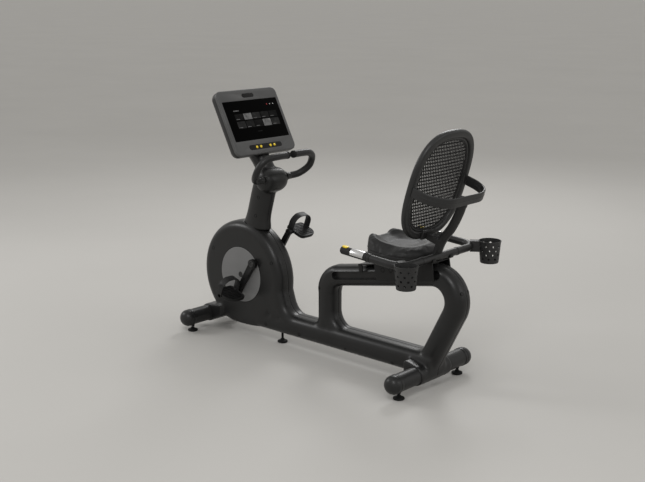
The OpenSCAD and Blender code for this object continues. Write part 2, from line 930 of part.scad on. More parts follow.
module seat_carriage() {
    color(BLACK) placed()
        on_rail() {
            translate([carriage_rear, -plate_inner - plate_thickness, rail_top + carriage_gap])
                cube([carriage_front - carriage_rear, 2 * (plate_inner + plate_thickness),
                      top_plate_thickness]);
            both_sides()
                translate([carriage_rear, plate_inner, plate_low])
                    cube([plate_front - carriage_rear, plate_thickness,
                          rail_top + carriage_gap - plate_low]);
            both_sides()
                translate([carriage_front - 20, plate_inner, 20])
                    cube([20, plate_thickness, rail_top + carriage_gap - 20]);
        }
}

roller_places = [-170, -410];

module carriage_rollers() {
    color(SILVER) placed()
        on_rail()
            both_sides()
                for (x = roller_places)
                    translate([x, loop_half - slot_depth + 3, slot_z])
                        rotate([-90, 0, 0])
                            cylinder(r = roller_r, h = plate_inner - loop_half + slot_depth - 3,
                                     $fn = 48);
}

// Bracket between the carriage and the seat: a box with a tray on top
bracket_front = -395;
bracket_rear = -600;
bracket_half = 60;
cradle_half = 48;
cradle_depth = 22;

// Everything that lies lower than the top of the carriage
module below_carriage_top() {
    on_rail()
        translate([-600, -200, rail_top + carriage_gap + top_plate_thickness - 200])
            cube([800, 400, 200]);
}

module seat_bracket() {
    color(BLACK) placed()
        difference() {
            union() {
                translate([bracket_rear, -bracket_half, 440])
                    cube([bracket_front - bracket_rear, 2 * bracket_half, seat_z - 8 - 440]);
                translate([bracket_rear - 20, -90, seat_z - 8])
                    cube([bracket_front - bracket_rear + 60, 180, 8]);
            }
            below_carriage_top();
        }
}

// Two blocks that carry the cross tube of the handlebar on the carriage
module bar_cradles() {
    color(BLACK) placed()
        difference() {
            both_sides()
                translate([corner_x - 20, cradle_half, corner_z - 60])
                    cube([40, cradle_depth, 60]);
            below_carriage_top();
            cross_tube(seat_gap);
        }
}

function seat_outline(d) = inset(rounded([
    [-seat_length / 2, -seat_width / 2, 112],
    [seat_length / 2, -seat_width / 2, 102],
    [seat_length / 2, seat_width / 2, 102],
    [-seat_length / 2, seat_width / 2, 112]]), d);

module seat_cushion() {
    color(DARK_GREY) placed()
        translate([seat_x, 0, seat_z])
            skin([
                lift(seat_outline(14), 0),
                lift(seat_outline(2), 12),
                lift(seat_outline(0), 30),
                [for (q = seat_outline(5)) [q.x, q.y, 42 + lobe(q)]],
                [for (q = seat_outline(20)) [q.x, q.y, seat_height + lobe(q)]],
                [for (q = seat_outline(50)) [q.x, q.y, seat_height - 2 + 0.5 * lobe(q)]],
                lift(seat_outline(86), seat_height - 8)]);
}

// Extra height of the seat towards its two front lobes
function lobe(q) =
    lobe_height * max(0, q.x / (seat_length / 2)) * min(1, abs(q.y) / (seat_width / 4));

// --- Backrest ---
module on_back() {
    translate(back_centre) rotate([0, -back_recline, 0]) children();
}

// Rounded outline of the backrest, between an ellipse and a rectangle, moved inwards by d
function back_curve(v) = sign(v) * pow(abs(v), 2 / back_power);
function back_outline(d) =
    [for (t = [0:7.5:352.5])
        [(back_width / 2 - d) * back_curve(cos(t)), (back_height / 2 - d) * back_curve(sin(t))]];

module back_plate(d, thickness) {
    rotate([90, 0, 90])
        translate([0, 0, -thickness / 2])
            linear_extrude(thickness) polygon(back_outline(d));
}

module backrest_frame() {
    color(CHARCOAL) placed()
        on_back()
            difference() {
                back_plate(0, back_thickness);
                back_plate(back_rim, back_thickness + 2);
            }
}

mesh_slot = [9, 24];
mesh_pitch = [15, 31];

// Mesh sheet with upright slots wherever a whole slot fits
module backrest_mesh() {
    reach = [back_width / 2 - back_rim, back_height / 2 - back_rim];
    color(BLACK) placed()
        on_back()
            rotate([90, 0, 90])
                translate([0, 0, -mesh_thickness / 2])
                    linear_extrude(mesh_thickness)
                        difference() {
                            polygon(back_outline(back_rim));
                            for (i = [-10:10], j = [-6:6]) {
                                x = i * mesh_pitch.x;
                                y = j * mesh_pitch.y;
                                if (pow((abs(x) + 10) / reach.x, back_power)
                                    + pow((abs(y) + 17) / reach.y, back_power) < 0.97)
                                    translate([x - mesh_slot.x / 2, y - mesh_slot.y / 2])
                                        square(mesh_slot);
                            }
                        }
}

// Grab handle: a flat band that leaves both sides of the frame and loops behind it
handle_reach = 138;
handle_thickness = 8;
handle_width = 42;
handle_half = 187;
handle_corner = 110;

function handle_outline(d) = rounded([
    [40, -handle_half + d, 0],
    [-handle_reach + d, -handle_half + d, handle_corner - d],
    [-handle_reach + d, handle_half - d, handle_corner - d],
    [40, handle_half - d, 0]]);

module on_handle() {
    on_back() translate([-back_thickness / 2, 0, -2]) children();
}

module handle_band(d) {
    on_handle()
        translate([0, 0, -handle_width / 2])
            linear_extrude(handle_width) polygon(handle_outline(d));
}

module grab_handle() {
    color(CHARCOAL) placed()
        difference() {
            handle_band(0);
            on_handle()
                translate([0, 0, -handle_width / 2 - 1])
                    linear_extrude(handle_width + 2) polygon(handle_outline(handle_thickness));
            on_back()
                translate([-back_thickness / 2, -300, -200]) cube([200, 600, 400]);
        }
}

// Post: from the carriage up behind the seat to the grab handle, with an arm that
// reaches the lower rim of the backrest
post_d = 38;
post_path = smooth_path([
    [-664, 0, 490],
    [-670, 0, 545],
    [-701, 0, 630],
    [-752, 0, 700],
    [-788, 0, 770],
    [-806, 0, 832]], 4);
arm_reach = 84;
arm_half = 20;
arm_height = 26;

module backrest_post() {
    color(CHARCOAL) placed()
        difference() {
            union() {
                swept_tube(post_path, post_d / 2, [0, 1, 0]);
                on_back()
                    translate([-back_thickness / 2 - arm_reach, -arm_half,
                               -back_height / 2 + back_rim - arm_height])
                        cube([arm_reach, 2 * arm_half, arm_height]);
            }
            below_carriage_top();
            cross_tube(seat_gap);
            behind_handle();
        }
}

// Space behind the inner face of the grab handle's rear part
module behind_handle() {
    on_handle()
        translate([-handle_reach - 100 + handle_thickness, -100, -100]) cube([100, 200, 200]);
}

// --- Handlebar below the seat ---
// The whole bar lies in one plane that rises a little towards the grips
grip_d = 34;
arm_pitch = atan((grip_front_z - corner_z) / (grip_front_x - corner_x));
grip_length = (grip_front_x - grip_rear_x) / cos(arm_pitch);
arm_start_x = corner_x + corner_r * cos(arm_pitch);
arm_length = (grip_rear_x - arm_start_x) / cos(arm_pitch);

// Frame of the left arm at a station x: z runs forward along it and y to the left
module on_arm(x) {
    translate([x, arm_y, corner_z + (x - corner_x) * tan(arm_pitch)])
        rotate([0, 90 - arm_pitch, 0])
            children();
}

module cross_tube(grow) {
    translate([corner_x, corner_r - arm_y, corner_z])
        rotate([-90, 0, 0])
            cylinder(d = seat_bar_d + 2 * grow, h = 2 * (arm_y - corner_r), $fn = 48);
}

// Bend between the left arm and the cross tube
module corner_bend(grow) {
    translate([corner_x, 0, corner_z])
        rotate([0, -arm_pitch, 0])
            translate([corner_r, arm_y - corner_r, 0])
                rotate([0, 0, 90])
                    rotate_extrude(angle = 90, $fn = 96)
                        translate([corner_r, 0]) circle(d = seat_bar_d + 2 * grow, $fn = 48);
}

module seat_handlebar() {
    color(CHARCOAL) placed()
        union() {
            cross_tube(0);
            both_sides() {
                corner_bend(0);
                on_arm(arm_start_x) cylinder(d = seat_bar_d, h = arm_length, $fn = 48);
            }
        }
}

module grip(side) {
    color(BLACK) placed()
        handed(side)
            on_arm(grip_rear_x)
                rotate_extrude($fn = 48)
                    polygon(rounded([
                        [0, 0, 0], [grip_d / 2, 0, 2],
                        [grip_d / 2, grip_length, 9], [0, grip_length, 0]], 15));
}

module left_grip() grip(1);
module right_grip() grip(-1);

plate_start = 16;
plate_length = 68;
plate_skin = 2;

// Pulse plates: metal shells on the upper outer side of each grip
module pulse_plates() {
    color(SILVER) placed()
        both_sides()
            on_arm(grip_rear_x)
                translate([0, 0, plate_start])
                    rotate([0, 0, 75])
                        rotate_extrude(angle = 120, $fn = 96)
                            translate([grip_d / 2 + bearing_gap, 0])
                                square([plate_skin, plate_length]);
}

button_size = [30, 18];
button_rise = 3;

// Buttons: ovals seated on top of each grip near its front end
module grip_buttons() {
    color(YELLOW) placed()
        both_sides()
            on_arm(grip_rear_x)
                difference() {
                    translate([0, 0, grip_length - button_size.x / 2 - 6])
                        rotate([0, -90, 0])
                            pill(button_size, button_rise + 6, grip_d / 2 - 6);
                    cylinder(r = grip_d / 2 + bearing_gap, h = grip_length, $fn = 96);
                }
}

// --- Cup holders ---
bracket_turn = atan2(
    cup_centre.y - arm_y + corner_r * (1 - sin(45)), cup_centre.x - corner_x - corner_r * (1 - sin(45)));

// Block between the bend of the handlebar and the cup
module cup_bracket(side) {
    color(BLACK) placed()
        handed(side)
            difference() {
                translate([corner_x + corner_r * (1 - sin(45)), arm_y - corner_r * (1 - sin(45)),
                           corner_z])
                    rotate([0, 0, bracket_turn])
                        translate([4, -17, -23])
                            cube([70, 34, 46]);
                translate([cup_centre.x, cup_centre.y, cup_centre.z])
                    mirror([0, 0, 1])
                        cup_cone(seat_gap);
                corner_bend(seat_gap);
            }
}

// Outside of the cup, from its rim downwards
module cup_cone(grow) {
    cylinder(r1 = cup_top_d / 2 + cup_wall + grow, r2 = cup_bottom_d / 2 + grow,
             h = cup_height, $fn = round_fn);
}

module left_cup_bracket() cup_bracket(1);
module right_cup_bracket() cup_bracket(-1);

module cup_holder(side) {
    color(BLACK) placed()
        handed(side)
            translate([cup_centre.x, cup_centre.y, cup_centre.z - cup_height])
                rotate_extrude($fn = round_fn)
                    polygon([
                        [0, 0], [cup_bottom_d / 2, 0],
                        [cup_top_d / 2 + cup_wall, cup_height],
                        [cup_top_d / 2, cup_height],
                        [cup_bottom_d / 2 - cup_wall, cup_wall], [0, cup_wall]]);
}

module left_cup_holder() cup_holder(1);
module right_cup_holder() cup_holder(-1);

// Lever on the right side of the carriage that frees the seat
lever_path = [[-260, 16], [-320, 26], [-340, 38]];
lever_thickness = 8;
lever_knob = 34;

module adjust_lever() {
    color(BLACK) placed()
        mirror([0, 1, 0])
            on_rail()
                translate([0, plate_inner + plate_thickness, 0]) {
                    for (i = [0:len(lever_path) - 2])
                        hull()
                            for (q = [lever_path[i], lever_path[i + 1]])
                                translate([q.x, 0, q.y])
                                    rotate([-90, 0, 0])
                                        cylinder(d = 24 - 4 * i, h = lever_thickness, $fn = 48);
                    translate([lever_path[2].x, 0, lever_path[2].y])
                        rotate([-90, 0, 0])
                            cylinder(d = 20, h = lever_thickness + lever_knob, $fn = 48);
                }
}

front_stabiliser();
rear_stabiliser();
front_left_end_cap();
front_right_end_cap();
rear_left_end_cap();
rear_right_end_cap();
front_left_foot();
front_right_foot();
rear_left_foot();
rear_right_foot();
middle_foot();
wheel_bracket();
left_transport_wheel();
right_transport_wheel();
left_shroud();
right_shroud();
left_disc_cover();
right_disc_cover();
flywheel();
mast_cover();
handlebar_pod();
console_neck();
left_handlebar();
right_handlebar();
console_back();
console_bezel();
screen();
badge_plate();
button_panel();
console_buttons();
crank_axle();
left_crank();
right_crank();
left_pedal();
right_pedal();
left_pedal_strap();
right_pedal_strap();
seat_carriage();
carriage_rollers();
seat_bracket();
bar_cradles();
seat_cushion();
backrest_post();
backrest_frame();
backrest_mesh();
grab_handle();
seat_handlebar();
left_grip();
right_grip();
pulse_plates();
grip_buttons();
left_cup_bracket();
right_cup_bracket();
left_cup_holder();
right_cup_holder();
adjust_lever();
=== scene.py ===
"""Recumbent exercise bike: the finished look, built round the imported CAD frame."""

import json
import math

import bmesh
import bpy
from mathutils import Matrix, Vector
from mathutils.bvhtree import BVHTree


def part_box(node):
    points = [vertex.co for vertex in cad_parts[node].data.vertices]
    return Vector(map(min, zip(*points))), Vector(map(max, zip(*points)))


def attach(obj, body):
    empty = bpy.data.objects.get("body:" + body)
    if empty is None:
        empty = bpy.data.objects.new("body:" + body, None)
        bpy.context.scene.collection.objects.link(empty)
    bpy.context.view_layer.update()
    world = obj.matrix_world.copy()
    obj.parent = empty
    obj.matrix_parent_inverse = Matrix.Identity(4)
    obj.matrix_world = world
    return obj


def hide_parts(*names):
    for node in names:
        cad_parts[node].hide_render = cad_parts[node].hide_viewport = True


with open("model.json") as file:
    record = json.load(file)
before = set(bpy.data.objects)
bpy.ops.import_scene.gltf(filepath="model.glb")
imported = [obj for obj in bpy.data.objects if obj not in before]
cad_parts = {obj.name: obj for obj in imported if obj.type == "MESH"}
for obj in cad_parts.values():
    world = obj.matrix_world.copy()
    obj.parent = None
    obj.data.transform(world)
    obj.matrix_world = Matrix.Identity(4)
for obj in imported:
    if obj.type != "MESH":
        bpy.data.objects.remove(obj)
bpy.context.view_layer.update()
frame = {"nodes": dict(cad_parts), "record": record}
record = frame["record"]
BODY_OF = {n: b for b, ns in record["behaviour"]["bodies"].items() for n in ns}
SLOT_OF = {s["node"]: s["material_slot"] for s in record["subparts"]}
SIDES = {"left": 1, "right": -1}

# ---------------------------------------------------------------- stations
REAR_TUBE_X = -0.655
MAST_X = 0.365
POD_X, POD_Z = 0.268, 0.772
CRANK_LENGTH = 0.172
CRANK_ANGLE = math.radians(57)
PEDAL_TILT = math.radians(20)
RAIL_PITCH = math.radians(10.35)
SCREEN_TILT = math.radians(27.6)
BACK_RECLINE = math.radians(17.4)


def middle(node):
    low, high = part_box(node)
    return (low + high) / 2


SHIFT = middle("rear_stabiliser").x - REAR_TUBE_X


def place(x, y, z):
    """A point given from the middle between the two stabiliser tubes."""
    return Vector((x + SHIFT, y, z))


# ---------------------------------------------------------------- materials
def grey(value):
    """Linear colour of an 8-bit sRGB grey."""
    c = value / 255
    lin = ((c + 0.055) / 1.055) ** 2.4 if c > 0.04045 else c / 12.92
    return (lin, lin, lin, 1)


def scaled(colour, factor):
    return tuple(min(1, c * factor) for c in colour[:3]) + (1,)


def finish(name, colour, rough, metal=0.0, mottle=0.14, mottle_scale=9.0, grain=0.25,
           grain_scale=1400.0, cells=0.0, cell_scale=380.0, sheen=0.0, spread=0.07, specular=0.4):
    """Procedural surface: mottled colour, uneven gloss and a fine grain or leather cells."""
    mat = bpy.data.materials.new(name)
    mat.use_nodes = True
    tree = mat.node_tree
    shader = tree.nodes["Principled BSDF"]
    shader.inputs["Metallic"].default_value = metal
    shader.inputs["Sheen Weight"].default_value = sheen
    shader.inputs["Specular IOR Level"].default_value = specular
    link = tree.links.new
    coord = tree.nodes.new("ShaderNodeTexCoord").outputs["Object"]

    def noise(scale, detail):
        node = tree.nodes.new("ShaderNodeTexNoise")
        node.inputs["Scale"].default_value = scale
        node.inputs["Detail"].default_value = detail
        link(coord, node.inputs["Vector"])
        return node.outputs["Fac"]

    ramp = tree.nodes.new("ShaderNodeValToRGB")
    ramp.color_ramp.elements[0].position = 0.3
    ramp.color_ramp.elements[1].position = 0.7
    ramp.color_ramp.elements[0].color = scaled(colour, 1 - mottle)
    ramp.color_ramp.elements[1].color = scaled(colour, 1 + mottle)
    link(noise(mottle_scale, 5.0), ramp.inputs["Fac"])
    link(ramp.outputs["Color"], shader.inputs["Base Color"])

    gloss = tree.nodes.new("ShaderNodeMapRange")
    gloss.inputs["To Min"].default_value = max(0.02, rough - spread)
    gloss.inputs["To Max"].default_value = min(1.0, rough + spread)
    link(noise(mottle_scale * 5, 3.0), gloss.inputs["Value"])
    link(gloss.outputs["Result"], shader.inputs["Roughness"])

    bump = tree.nodes.new("ShaderNodeBump")
    bump.inputs["Strength"].default_value = grain
    bump.inputs["Distance"].default_value = 0.0004
    link(noise(grain_scale, 2.0), bump.inputs["Height"])
    last = bump
    if cells:
        voronoi = tree.nodes.new("ShaderNodeTexVoronoi")
        voronoi.feature = "DISTANCE_TO_EDGE"
        voronoi.inputs["Scale"].default_value = cell_scale
        link(coord, voronoi.inputs["Vector"])
        last = tree.nodes.new("ShaderNodeBump")
        last.inputs["Strength"].default_value = cells
        last.inputs["Distance"].default_value = 0.0006
        link(voronoi.outputs["Distance"], last.inputs["Height"])
        link(bump.outputs["Normal"], last.inputs["Normal"])
    link(last.outputs["Normal"], shader.inputs["Normal"])
    return mat


SHROUD = finish("shroud_satin", grey(27), 0.34, grain=0.12, specular=0.32)
TUBE = finish("powder_coat", grey(31), 0.4, grain=0.3, grain_scale=900, specular=0.33)
CAP = finish("cap_satin", grey(30), 0.36, grain=0.15, specular=0.33)
RUBBER = finish("foot_rubber", grey(22), 0.75, grain=0.5, specular=0.2)
DISC = finish("disc_grey", grey(108), 0.4, mottle=0.06, specular=0.25)
STEEL = finish("machined_steel", grey(150), 0.32, metal=1.0, mottle=0.1)
CRANK = finish("crank_black", grey(18), 0.38, grain=0.2, specular=0.25)
PEDAL = finish("pedal_black", grey(22), 0.5, grain=0.5, specular=0.25)
STRAP = finish("strap_black", grey(30), 0.5, grain=0.3, specular=0.3)
CONSOLE = finish("console_back", grey(42), 0.42, specular=0.3)
BEZEL = finish("bezel_grey", grey(78), 0.45, grain=0.2, specular=0.3)
SCREEN = finish("screen_glass", grey(3), 0.3, grain=0.02, mottle=0.3, spread=0.03, specular=0.02)
GLOSS = finish("gloss_black", grey(10), 0.25, grain=0.02, spread=0.04, specular=0.25)
YELLOW = finish("button_yellow", (0.85, 0.62, 0.03, 1), 0.3, grain=0.05, mottle=0.06)
LEATHER = finish("seat_leather", grey(30), 0.48, cells=0.3, cell_scale=420, sheen=0.03, specular=0.25)
BACK = finish("back_frame_satin", grey(37), 0.38, grain=0.2, specular=0.35)
MESH = finish("mesh_black", grey(24), 0.55, grain=0.3, specular=0.25)
GRIP = finish("grip_rubber", grey(28), 0.6, cells=0.3, cell_scale=600, specular=0.25)
PULSE = finish("pulse_metal", grey(205), 0.28, metal=1.0, mottle=0.05, grain=0.08)
CUP = finish("cup_satin", grey(38), 0.45, grain=0.3, specular=0.35)
# Near-black and matte: painted shade in the gap round the disc covers and in the screw recesses, and the own
# black of the screw heads.
SHADE_AND_SCREW_BLACK = finish("shade_and_screw_black", grey(3), 0.8, grain=0.05, specular=0.02)

# ---------------------------------------------------------------- mesh helpers


def adopt(obj, body, *nodes, slot=None):
    """A finished piece rides on its body and stands for its CAD nodes."""
    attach(obj, body)
    if nodes:
        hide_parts(*nodes)
    return obj


def shade(mesh, angle=38):
    """Smooth shading that stays crisp at edges sharper than the angle."""
    bm = bmesh.new()
    bm.from_mesh(mesh)
    limit = math.radians(angle)
    for face in bm.faces:
        face.smooth = True
    for edge in bm.edges:
        edge.smooth = len(edge.link_faces) == 2 and edge.calc_face_angle(0) < limit
    bm.to_mesh(mesh)
    bm.free()


def new_object(name, bm, material):
    mesh = bpy.data.meshes.new(name)
    bmesh.ops.recalc_face_normals(bm, faces=bm.faces)
    bm.to_mesh(mesh)
    bm.free()
    shade(mesh)
    obj = bpy.data.objects.new(name, mesh)
    bpy.context.scene.collection.objects.link(obj)
    mesh.materials.append(material)
    return obj


def apply_modifiers(obj):
    graph = bpy.context.evaluated_depsgraph_get()
    mesh = bpy.data.meshes.new_from_object(obj.evaluated_get(graph))
    obj.modifiers.clear()
    obj.data = mesh
    return obj


def bevel(obj, width, segments=3, angle=30):
    mod = obj.modifiers.new("edge", "BEVEL")
    mod.width = width
    mod.segments = segments
    mod.limit_method = "ANGLE"
    mod.angle_limit = math.radians(angle)
    mod.use_clamp_overlap = True
    apply_modifiers(obj)
    shade(obj.data)
    return obj


def cad_copy(nodes):
    """The CAD solids of these nodes as one clean bmesh."""
    bm = bmesh.new()
    for node in nodes:
        bm.from_mesh(frame["nodes"][node].data)
    bmesh.ops.remove_doubles(bm, verts=bm.verts, dist=2e-5)
    return bm


def rounded_solid(node, name, material, width, segments=3, angle=30):
    """A CAD solid with its flat faces joined and its edges rounded."""
    bm = cad_copy([node])
    bmesh.ops.dissolve_limit(bm, angle_limit=math.radians(1.2), verts=bm.verts, edges=bm.edges)
    return bevel(new_object(name, bm, material), width, segments, angle)


def refined(node, material, width=0.0015, segments=3, angle=30):
    return adopt(rounded_solid(node, node + "_piece", material, width, segments, angle), BODY_OF[node], node)


def melt(obj, voxel, passes):
    """Solids that overlap become one skin whose inner corners flow."""
    remesh = obj.modifiers.new("remesh", "REMESH")
    remesh.mode = "VOXEL"
    remesh.voxel_size = voxel
    smooth = obj.modifiers.new("smooth", "SMOOTH")
    smooth.factor = 0.5
    smooth.iterations = passes
    apply_modifiers(obj)


def catmull(points, steps):
    """Smooth path through points."""
    out = []
    last = len(points) - 1
    for i in range(last):
        a, b = points[max(i - 1, 0)], points[i]
        c, d = points[i + 1], points[min(i + 2, last)]
        for k in range(steps):
            t = k / steps
            out.append(0.5 * (2 * b + (c - a) * t + (2 * a - 5 * b + 4 * c - d) * t * t
                              + (3 * b - a - 3 * c + d) * t ** 3))
    out.append(points[last])
    return out


def circle(radius, count=24):
    return [(radius * math.cos(2 * math.pi * k / count), radius * math.sin(2 * math.pi * k / count))
            for k in range(count)]


def rounded_rect(width, height, radius, steps=4):
    """Section outline, anticlockwise, with rounded corners."""
    out = []
    for cx, cy, start in ((1, 1, 0), (-1, 1, 90), (-1, -1, 180), (1, -1, 270)):
        for k in range(steps + 1):
            a = math.radians(start + 90 * k / steps)
            out.append((cx * (width / 2 - radius) + radius * math.cos(a),
                        cy * (height / 2 - radius) + radius * math.sin(a)))
    return out


def skin(name, rings, material, closed=False):
    """Solid through rings with the same number of points; closed joins the last to the first."""
    bm = bmesh.new()
    loops = [[bm.verts.new(v) for v in ring] for ring in rings]
    for a, b in zip(loops, loops[1:] + loops[:1] if closed else loops[1:]):
        for k in range(len(a)):
            j = (k + 1) % len(a)
            bm.faces.new((a[k], a[j], b[j], b[k]))
    if not closed:
        bm.faces.new(list(reversed(loops[0])))
        bm.faces.new(loops[-1])
    return new_object(name, bm, material)


def sweep(name, path, section, material, up=Vector((0, 0, 1))):
    """Solid along a path: section x lies across, section y along up."""
    rings = []
    last = len(path) - 1
    for i, p in enumerate(path):
        t = (path[min(i + 1, last)] - path[max(i - 1, 0)]).normalized()
        side = t.cross(up).normalized()
        lift = side.cross(t).normalized()
        rings.append([p + x * side + y * lift for x, y in section])
    return skin(name, rings, material)


def lathe(name, origin, axis, profile, material, count=64):
    """Solid of revolution: profile is (radius, height) along the axis from the origin."""
    axis = Vector(axis).normalized()
    u = axis.orthogonal().normalized()
    v = axis.cross(u)
    bm = bmesh.new()
    loops = []
    for r, h in profile:
        if r < 1e-7:
            loops.append([bm.verts.new(Vector(origin) + axis * h)])
        else:
            loops.append([bm.verts.new(Vector(origin) + axis * h + r * (
                math.cos(2 * math.pi * k / count) * u + math.sin(2 * math.pi * k / count) * v))
                for k in range(count)])
    for a, b in zip(loops, loops[1:]):
        for k in range(count):
            j = (k + 1) % count
            if len(a) == 1:
                bm.faces.new((a[0], b[j], b[k]))
            elif len(b) == 1:
                bm.faces.new((a[k], a[j], b[0]))
            else:
                bm.faces.new((a[k], a[j], b[j], b[k]))
    return new_object(name, bm, material)


def join(name, objs):
    """Several meshes as one piece, each part with its own material."""
    bm = bmesh.new()
    mesh = bpy.data.meshes.new(name)
    mats = []
    for obj in objs:
        start = len(bm.faces)
        bm.from_mesh(obj.data)
        bm.faces.ensure_lookup_table()
        mat = obj.data.materials[0]
        if mat not in mats:
            mats.append(mat)
        for face in bm.faces[start:]:
            face.material_index = mats.index(mat)
    bm.to_mesh(mesh)
    bm.free()
    for mat in mats:
        mesh.materials.append(mat)
    for obj in objs:
        bpy.data.objects.remove(obj)
    out = bpy.data.objects.new(name, mesh)
    bpy.context.scene.collection.objects.link(out)
    return out


def frame_at(origin, x, z):
    """Matrix of a local frame with the given x and z directions."""
    x, z = Vector(x).normalized(), Vector(z).normalized()
    y = z.cross(x)
    return Matrix((
        (x.x, y.x, z.x, origin[0]), (x.y, y.y, z.y, origin[1]),
        (x.z, y.z, z.z, origin[2]), (0, 0, 0, 1)))


def screw(name, origin, axis, radius):
    """Small socket screw: a black head in a recess ring that is painted near-black as shade."""
    axis = Vector(axis).normalized()
    # The recess ring is painted shade: near-black where the recess lies in shadow.
    ring = lathe(name + "_a", origin, axis, [
        (0, -0.003), (radius * 1.5, -0.003), (radius * 1.5, 0.0004), (radius * 1.25, 0.0006),
        (radius * 1.2, -0.0012), (0, -0.0012)], SHADE_AND_SCREW_BLACK, 24)
    head = lathe(name + "_b", origin, axis, [
        (0, -0.0012), (radius, -0.0012), (radius, -0.0002), (radius * 0.85, 0.0002),
        (radius * 0.5, 0.0002), (radius * 0.5, -0.001), (0, -0.001)], SHADE_AND_SCREW_BLACK, 24)
    return join(name, [ring, head])


# ---------------------------------------------------------------- stabilisers, caps and feet
def stabiliser(node):
    low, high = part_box(node)
    c, r, half = (low + high) / 2, (high.z - low.z) / 2, (high.y - low.y) / 2
    piece = lathe(node + "_tube", (c.x, -half, c.z), (0, 1, 0),
                  [(0, 0), (r, 0), (r, 2 * half), (0, 2 * half)], TUBE, 96)
    adopt(piece, "frame", node)
    return c, r, half


def end_cap(node, side, tube):
    c, r, half = tube
    lip, skirt, start, tip = r + 0.002, 0.034, -0.012, 0.024
    profile = [(0, -skirt), (lip - 0.0018, -skirt), (lip - 0.0006, 0.0007 - skirt), (lip, 0.0022 - skirt),
               (lip, 0.0135 - skirt), (lip - 0.0013, 0.0143 - skirt), (lip - 0.0013, 0.0155 - skirt),
               (lip, 0.0163 - skirt)]
    profile += [(lip * math.cos(a) ** 0.8, start + (tip - start) * math.sin(a))
                for a in (math.radians(6 * k) for k in range(15))]
    profile += [(0, tip)]
    adopt(lathe(node + "_dome", (c.x, side * half, c.z), (0, side, 0), profile, CAP, 96), "frame", node)


def hexagon(name, x, y, z, across, height, material):
    outline = circle(across / 1.732, 6)
    return bevel(skin(name, [[(x + a, y + b, h) for a, b in outline] for h in (z, z + height)], material),
                 0.0008, 2)


def foot(node, under):
    low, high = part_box(node)
    c, r = (low + high) / 2, (high.x - low.x) / 2
    pad = lathe(node + "_pad", (c.x, c.y, 0), (0, 0, 1), [
        (0, 0), (r - 0.0035, 0), (r - 0.001, 0.0008), (r, 0.0025), (r, 0.0065), (r - 0.0008, 0.0078),
        (r * 0.8, 0.0094), (r * 0.6, 0.0112), (r * 0.5, 0.012), (0.0105, 0.0125), (0.0095, 0.0175),
        (0, 0.0175)], RUBBER, 48)
    thread = []
    z = 0.012
    while z < high.z - 0.001:
        thread += [(0.006, z), (0.0054, z + 0.0008)]
        z += 0.0016
    stem = lathe(node + "_stem", (c.x, c.y, 0), (0, 0, 1),
                 [(0, 0.0119)] + thread + [(0.0056, high.z), (0, high.z)], CRANK, 24)
    nut = hexagon(node + "_nut", c.x, c.y, under - 0.0085, 0.018, 0.008, CRANK)
    adopt(join(node + "_piece", [pad, stem, nut]), "frame", node)


TUBES = {end: stabiliser(end + "_stabiliser") for end in ("front", "rear")}
for end in ("front", "rear"):
    for side, sign in SIDES.items():
        end_cap(f"{end}_{side}_end_cap", sign, TUBES[end])
        foot(f"{end}_{side}_foot", TUBES[end][0].z - TUBES[end][1] * 0.98)
foot("middle_foot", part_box("left_shroud")[0].z + 0.03)


def transport_wheel(node):
    low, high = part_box(node)
    c, r, w = (low + high) / 2, (high.z - low.z) / 2, high.y - low.y
    profile = [(0.0045, -w / 2 + 0.001), (0.0095, -w / 2 + 0.001), (0.0105, -w / 2 + 0.002),
               (0.0110, -w / 2 + 0.004), (r - 0.007, -w / 2 + 0.004), (r - 0.0062, -w / 2 + 0.0004),
               (r - 0.003, -w / 2), (r - 0.0008, -w / 2 + 0.0016), (r, -w / 2 + 0.0045)]
    for y in (-0.0045, 0.0045):
        profile += [(r, y - 0.0012), (r - 0.0009, y - 0.0006), (r - 0.0009, y + 0.0006), (r, y + 0.0012)]
    profile += [(a, -b) for a, b in reversed(profile[:9])] + [(0.0045, -w / 2 + 0.001)]
    adopt(lathe(node + "_tyre", c, (0, 1, 0), profile, RUBBER, 64), BODY_OF[node], node)


for side in SIDES:
    transport_wheel(side + "_transport_wheel")
refined("wheel_bracket", TUBE, 0.0008)

# ---------------------------------------------------------------- shroud
def outer_shell(nodes):
    """The two halves as one closed skin, without the faces where they meet."""
    bm = cad_copy(nodes)
    inner = [f for f in bm.faces if all(abs(v.co.y) < 1e-5 for v in f.verts)]
    bmesh.ops.delete(bm, geom=inner, context="FACES")
    bmesh.ops.remove_doubles(bm, verts=bm.verts, dist=2e-5)
    return bm


def add_solid(bm, obj):
    bm.from_mesh(obj.data)
    bpy.data.objects.remove(obj)


def cylinder_y(x, z, r, y0, y1, count=96):
    return lathe("plug", (x, y0, z), (0, 1, 0), [(0, 0), (r, 0), (r, y1 - y0), (0, y1 - y0)], SHROUD, count)


def prism_y(outline, y0, y1):
    """Solid with an outline of (x, z) points between two planes."""
    return skin("prism", [[(x, y, z) for x, z in outline] for y in (y0, y1)], SHROUD)


COVER_LOW, COVER_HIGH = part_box("left_disc_cover")
COVER = (COVER_LOW + COVER_HIGH) / 2
COVER_R = (COVER_HIGH.z - COVER_LOW.z) / 2
BASE_HALF = COVER_LOW.y + 0.003
RAIL = place(-0.271, 0, 0.4165)
AXLE = middle("crank_axle")


def on_rail(x, y, z):
    """Point in the rail's frame: x forward along it, z square on it."""
    return RAIL + Vector((x * math.cos(RAIL_PITCH) + z * math.sin(RAIL_PITCH), y,
                          -x * math.sin(RAIL_PITCH) + z * math.cos(RAIL_PITCH)))


def slot_outline(grow):
    """Outline of the long side slot of the rail, as (x, z) points."""
    corner = 0.017
    front, rear, top, bottom = 0.122 - corner, -0.47 + corner, 0.023 - corner, -0.013 + corner
    r = corner + grow
    out = []
    for cx, cz, start in ((front, top, 0), (rear, top, 90), (rear, bottom, 180), (front, bottom, 270)):
        for k in range(7):
            a = math.radians(start + 15 * k)
            p = on_rail(cx + r * math.cos(a), 0, cz + r * math.sin(a))
            out.append((p.x, p.z))
    return out


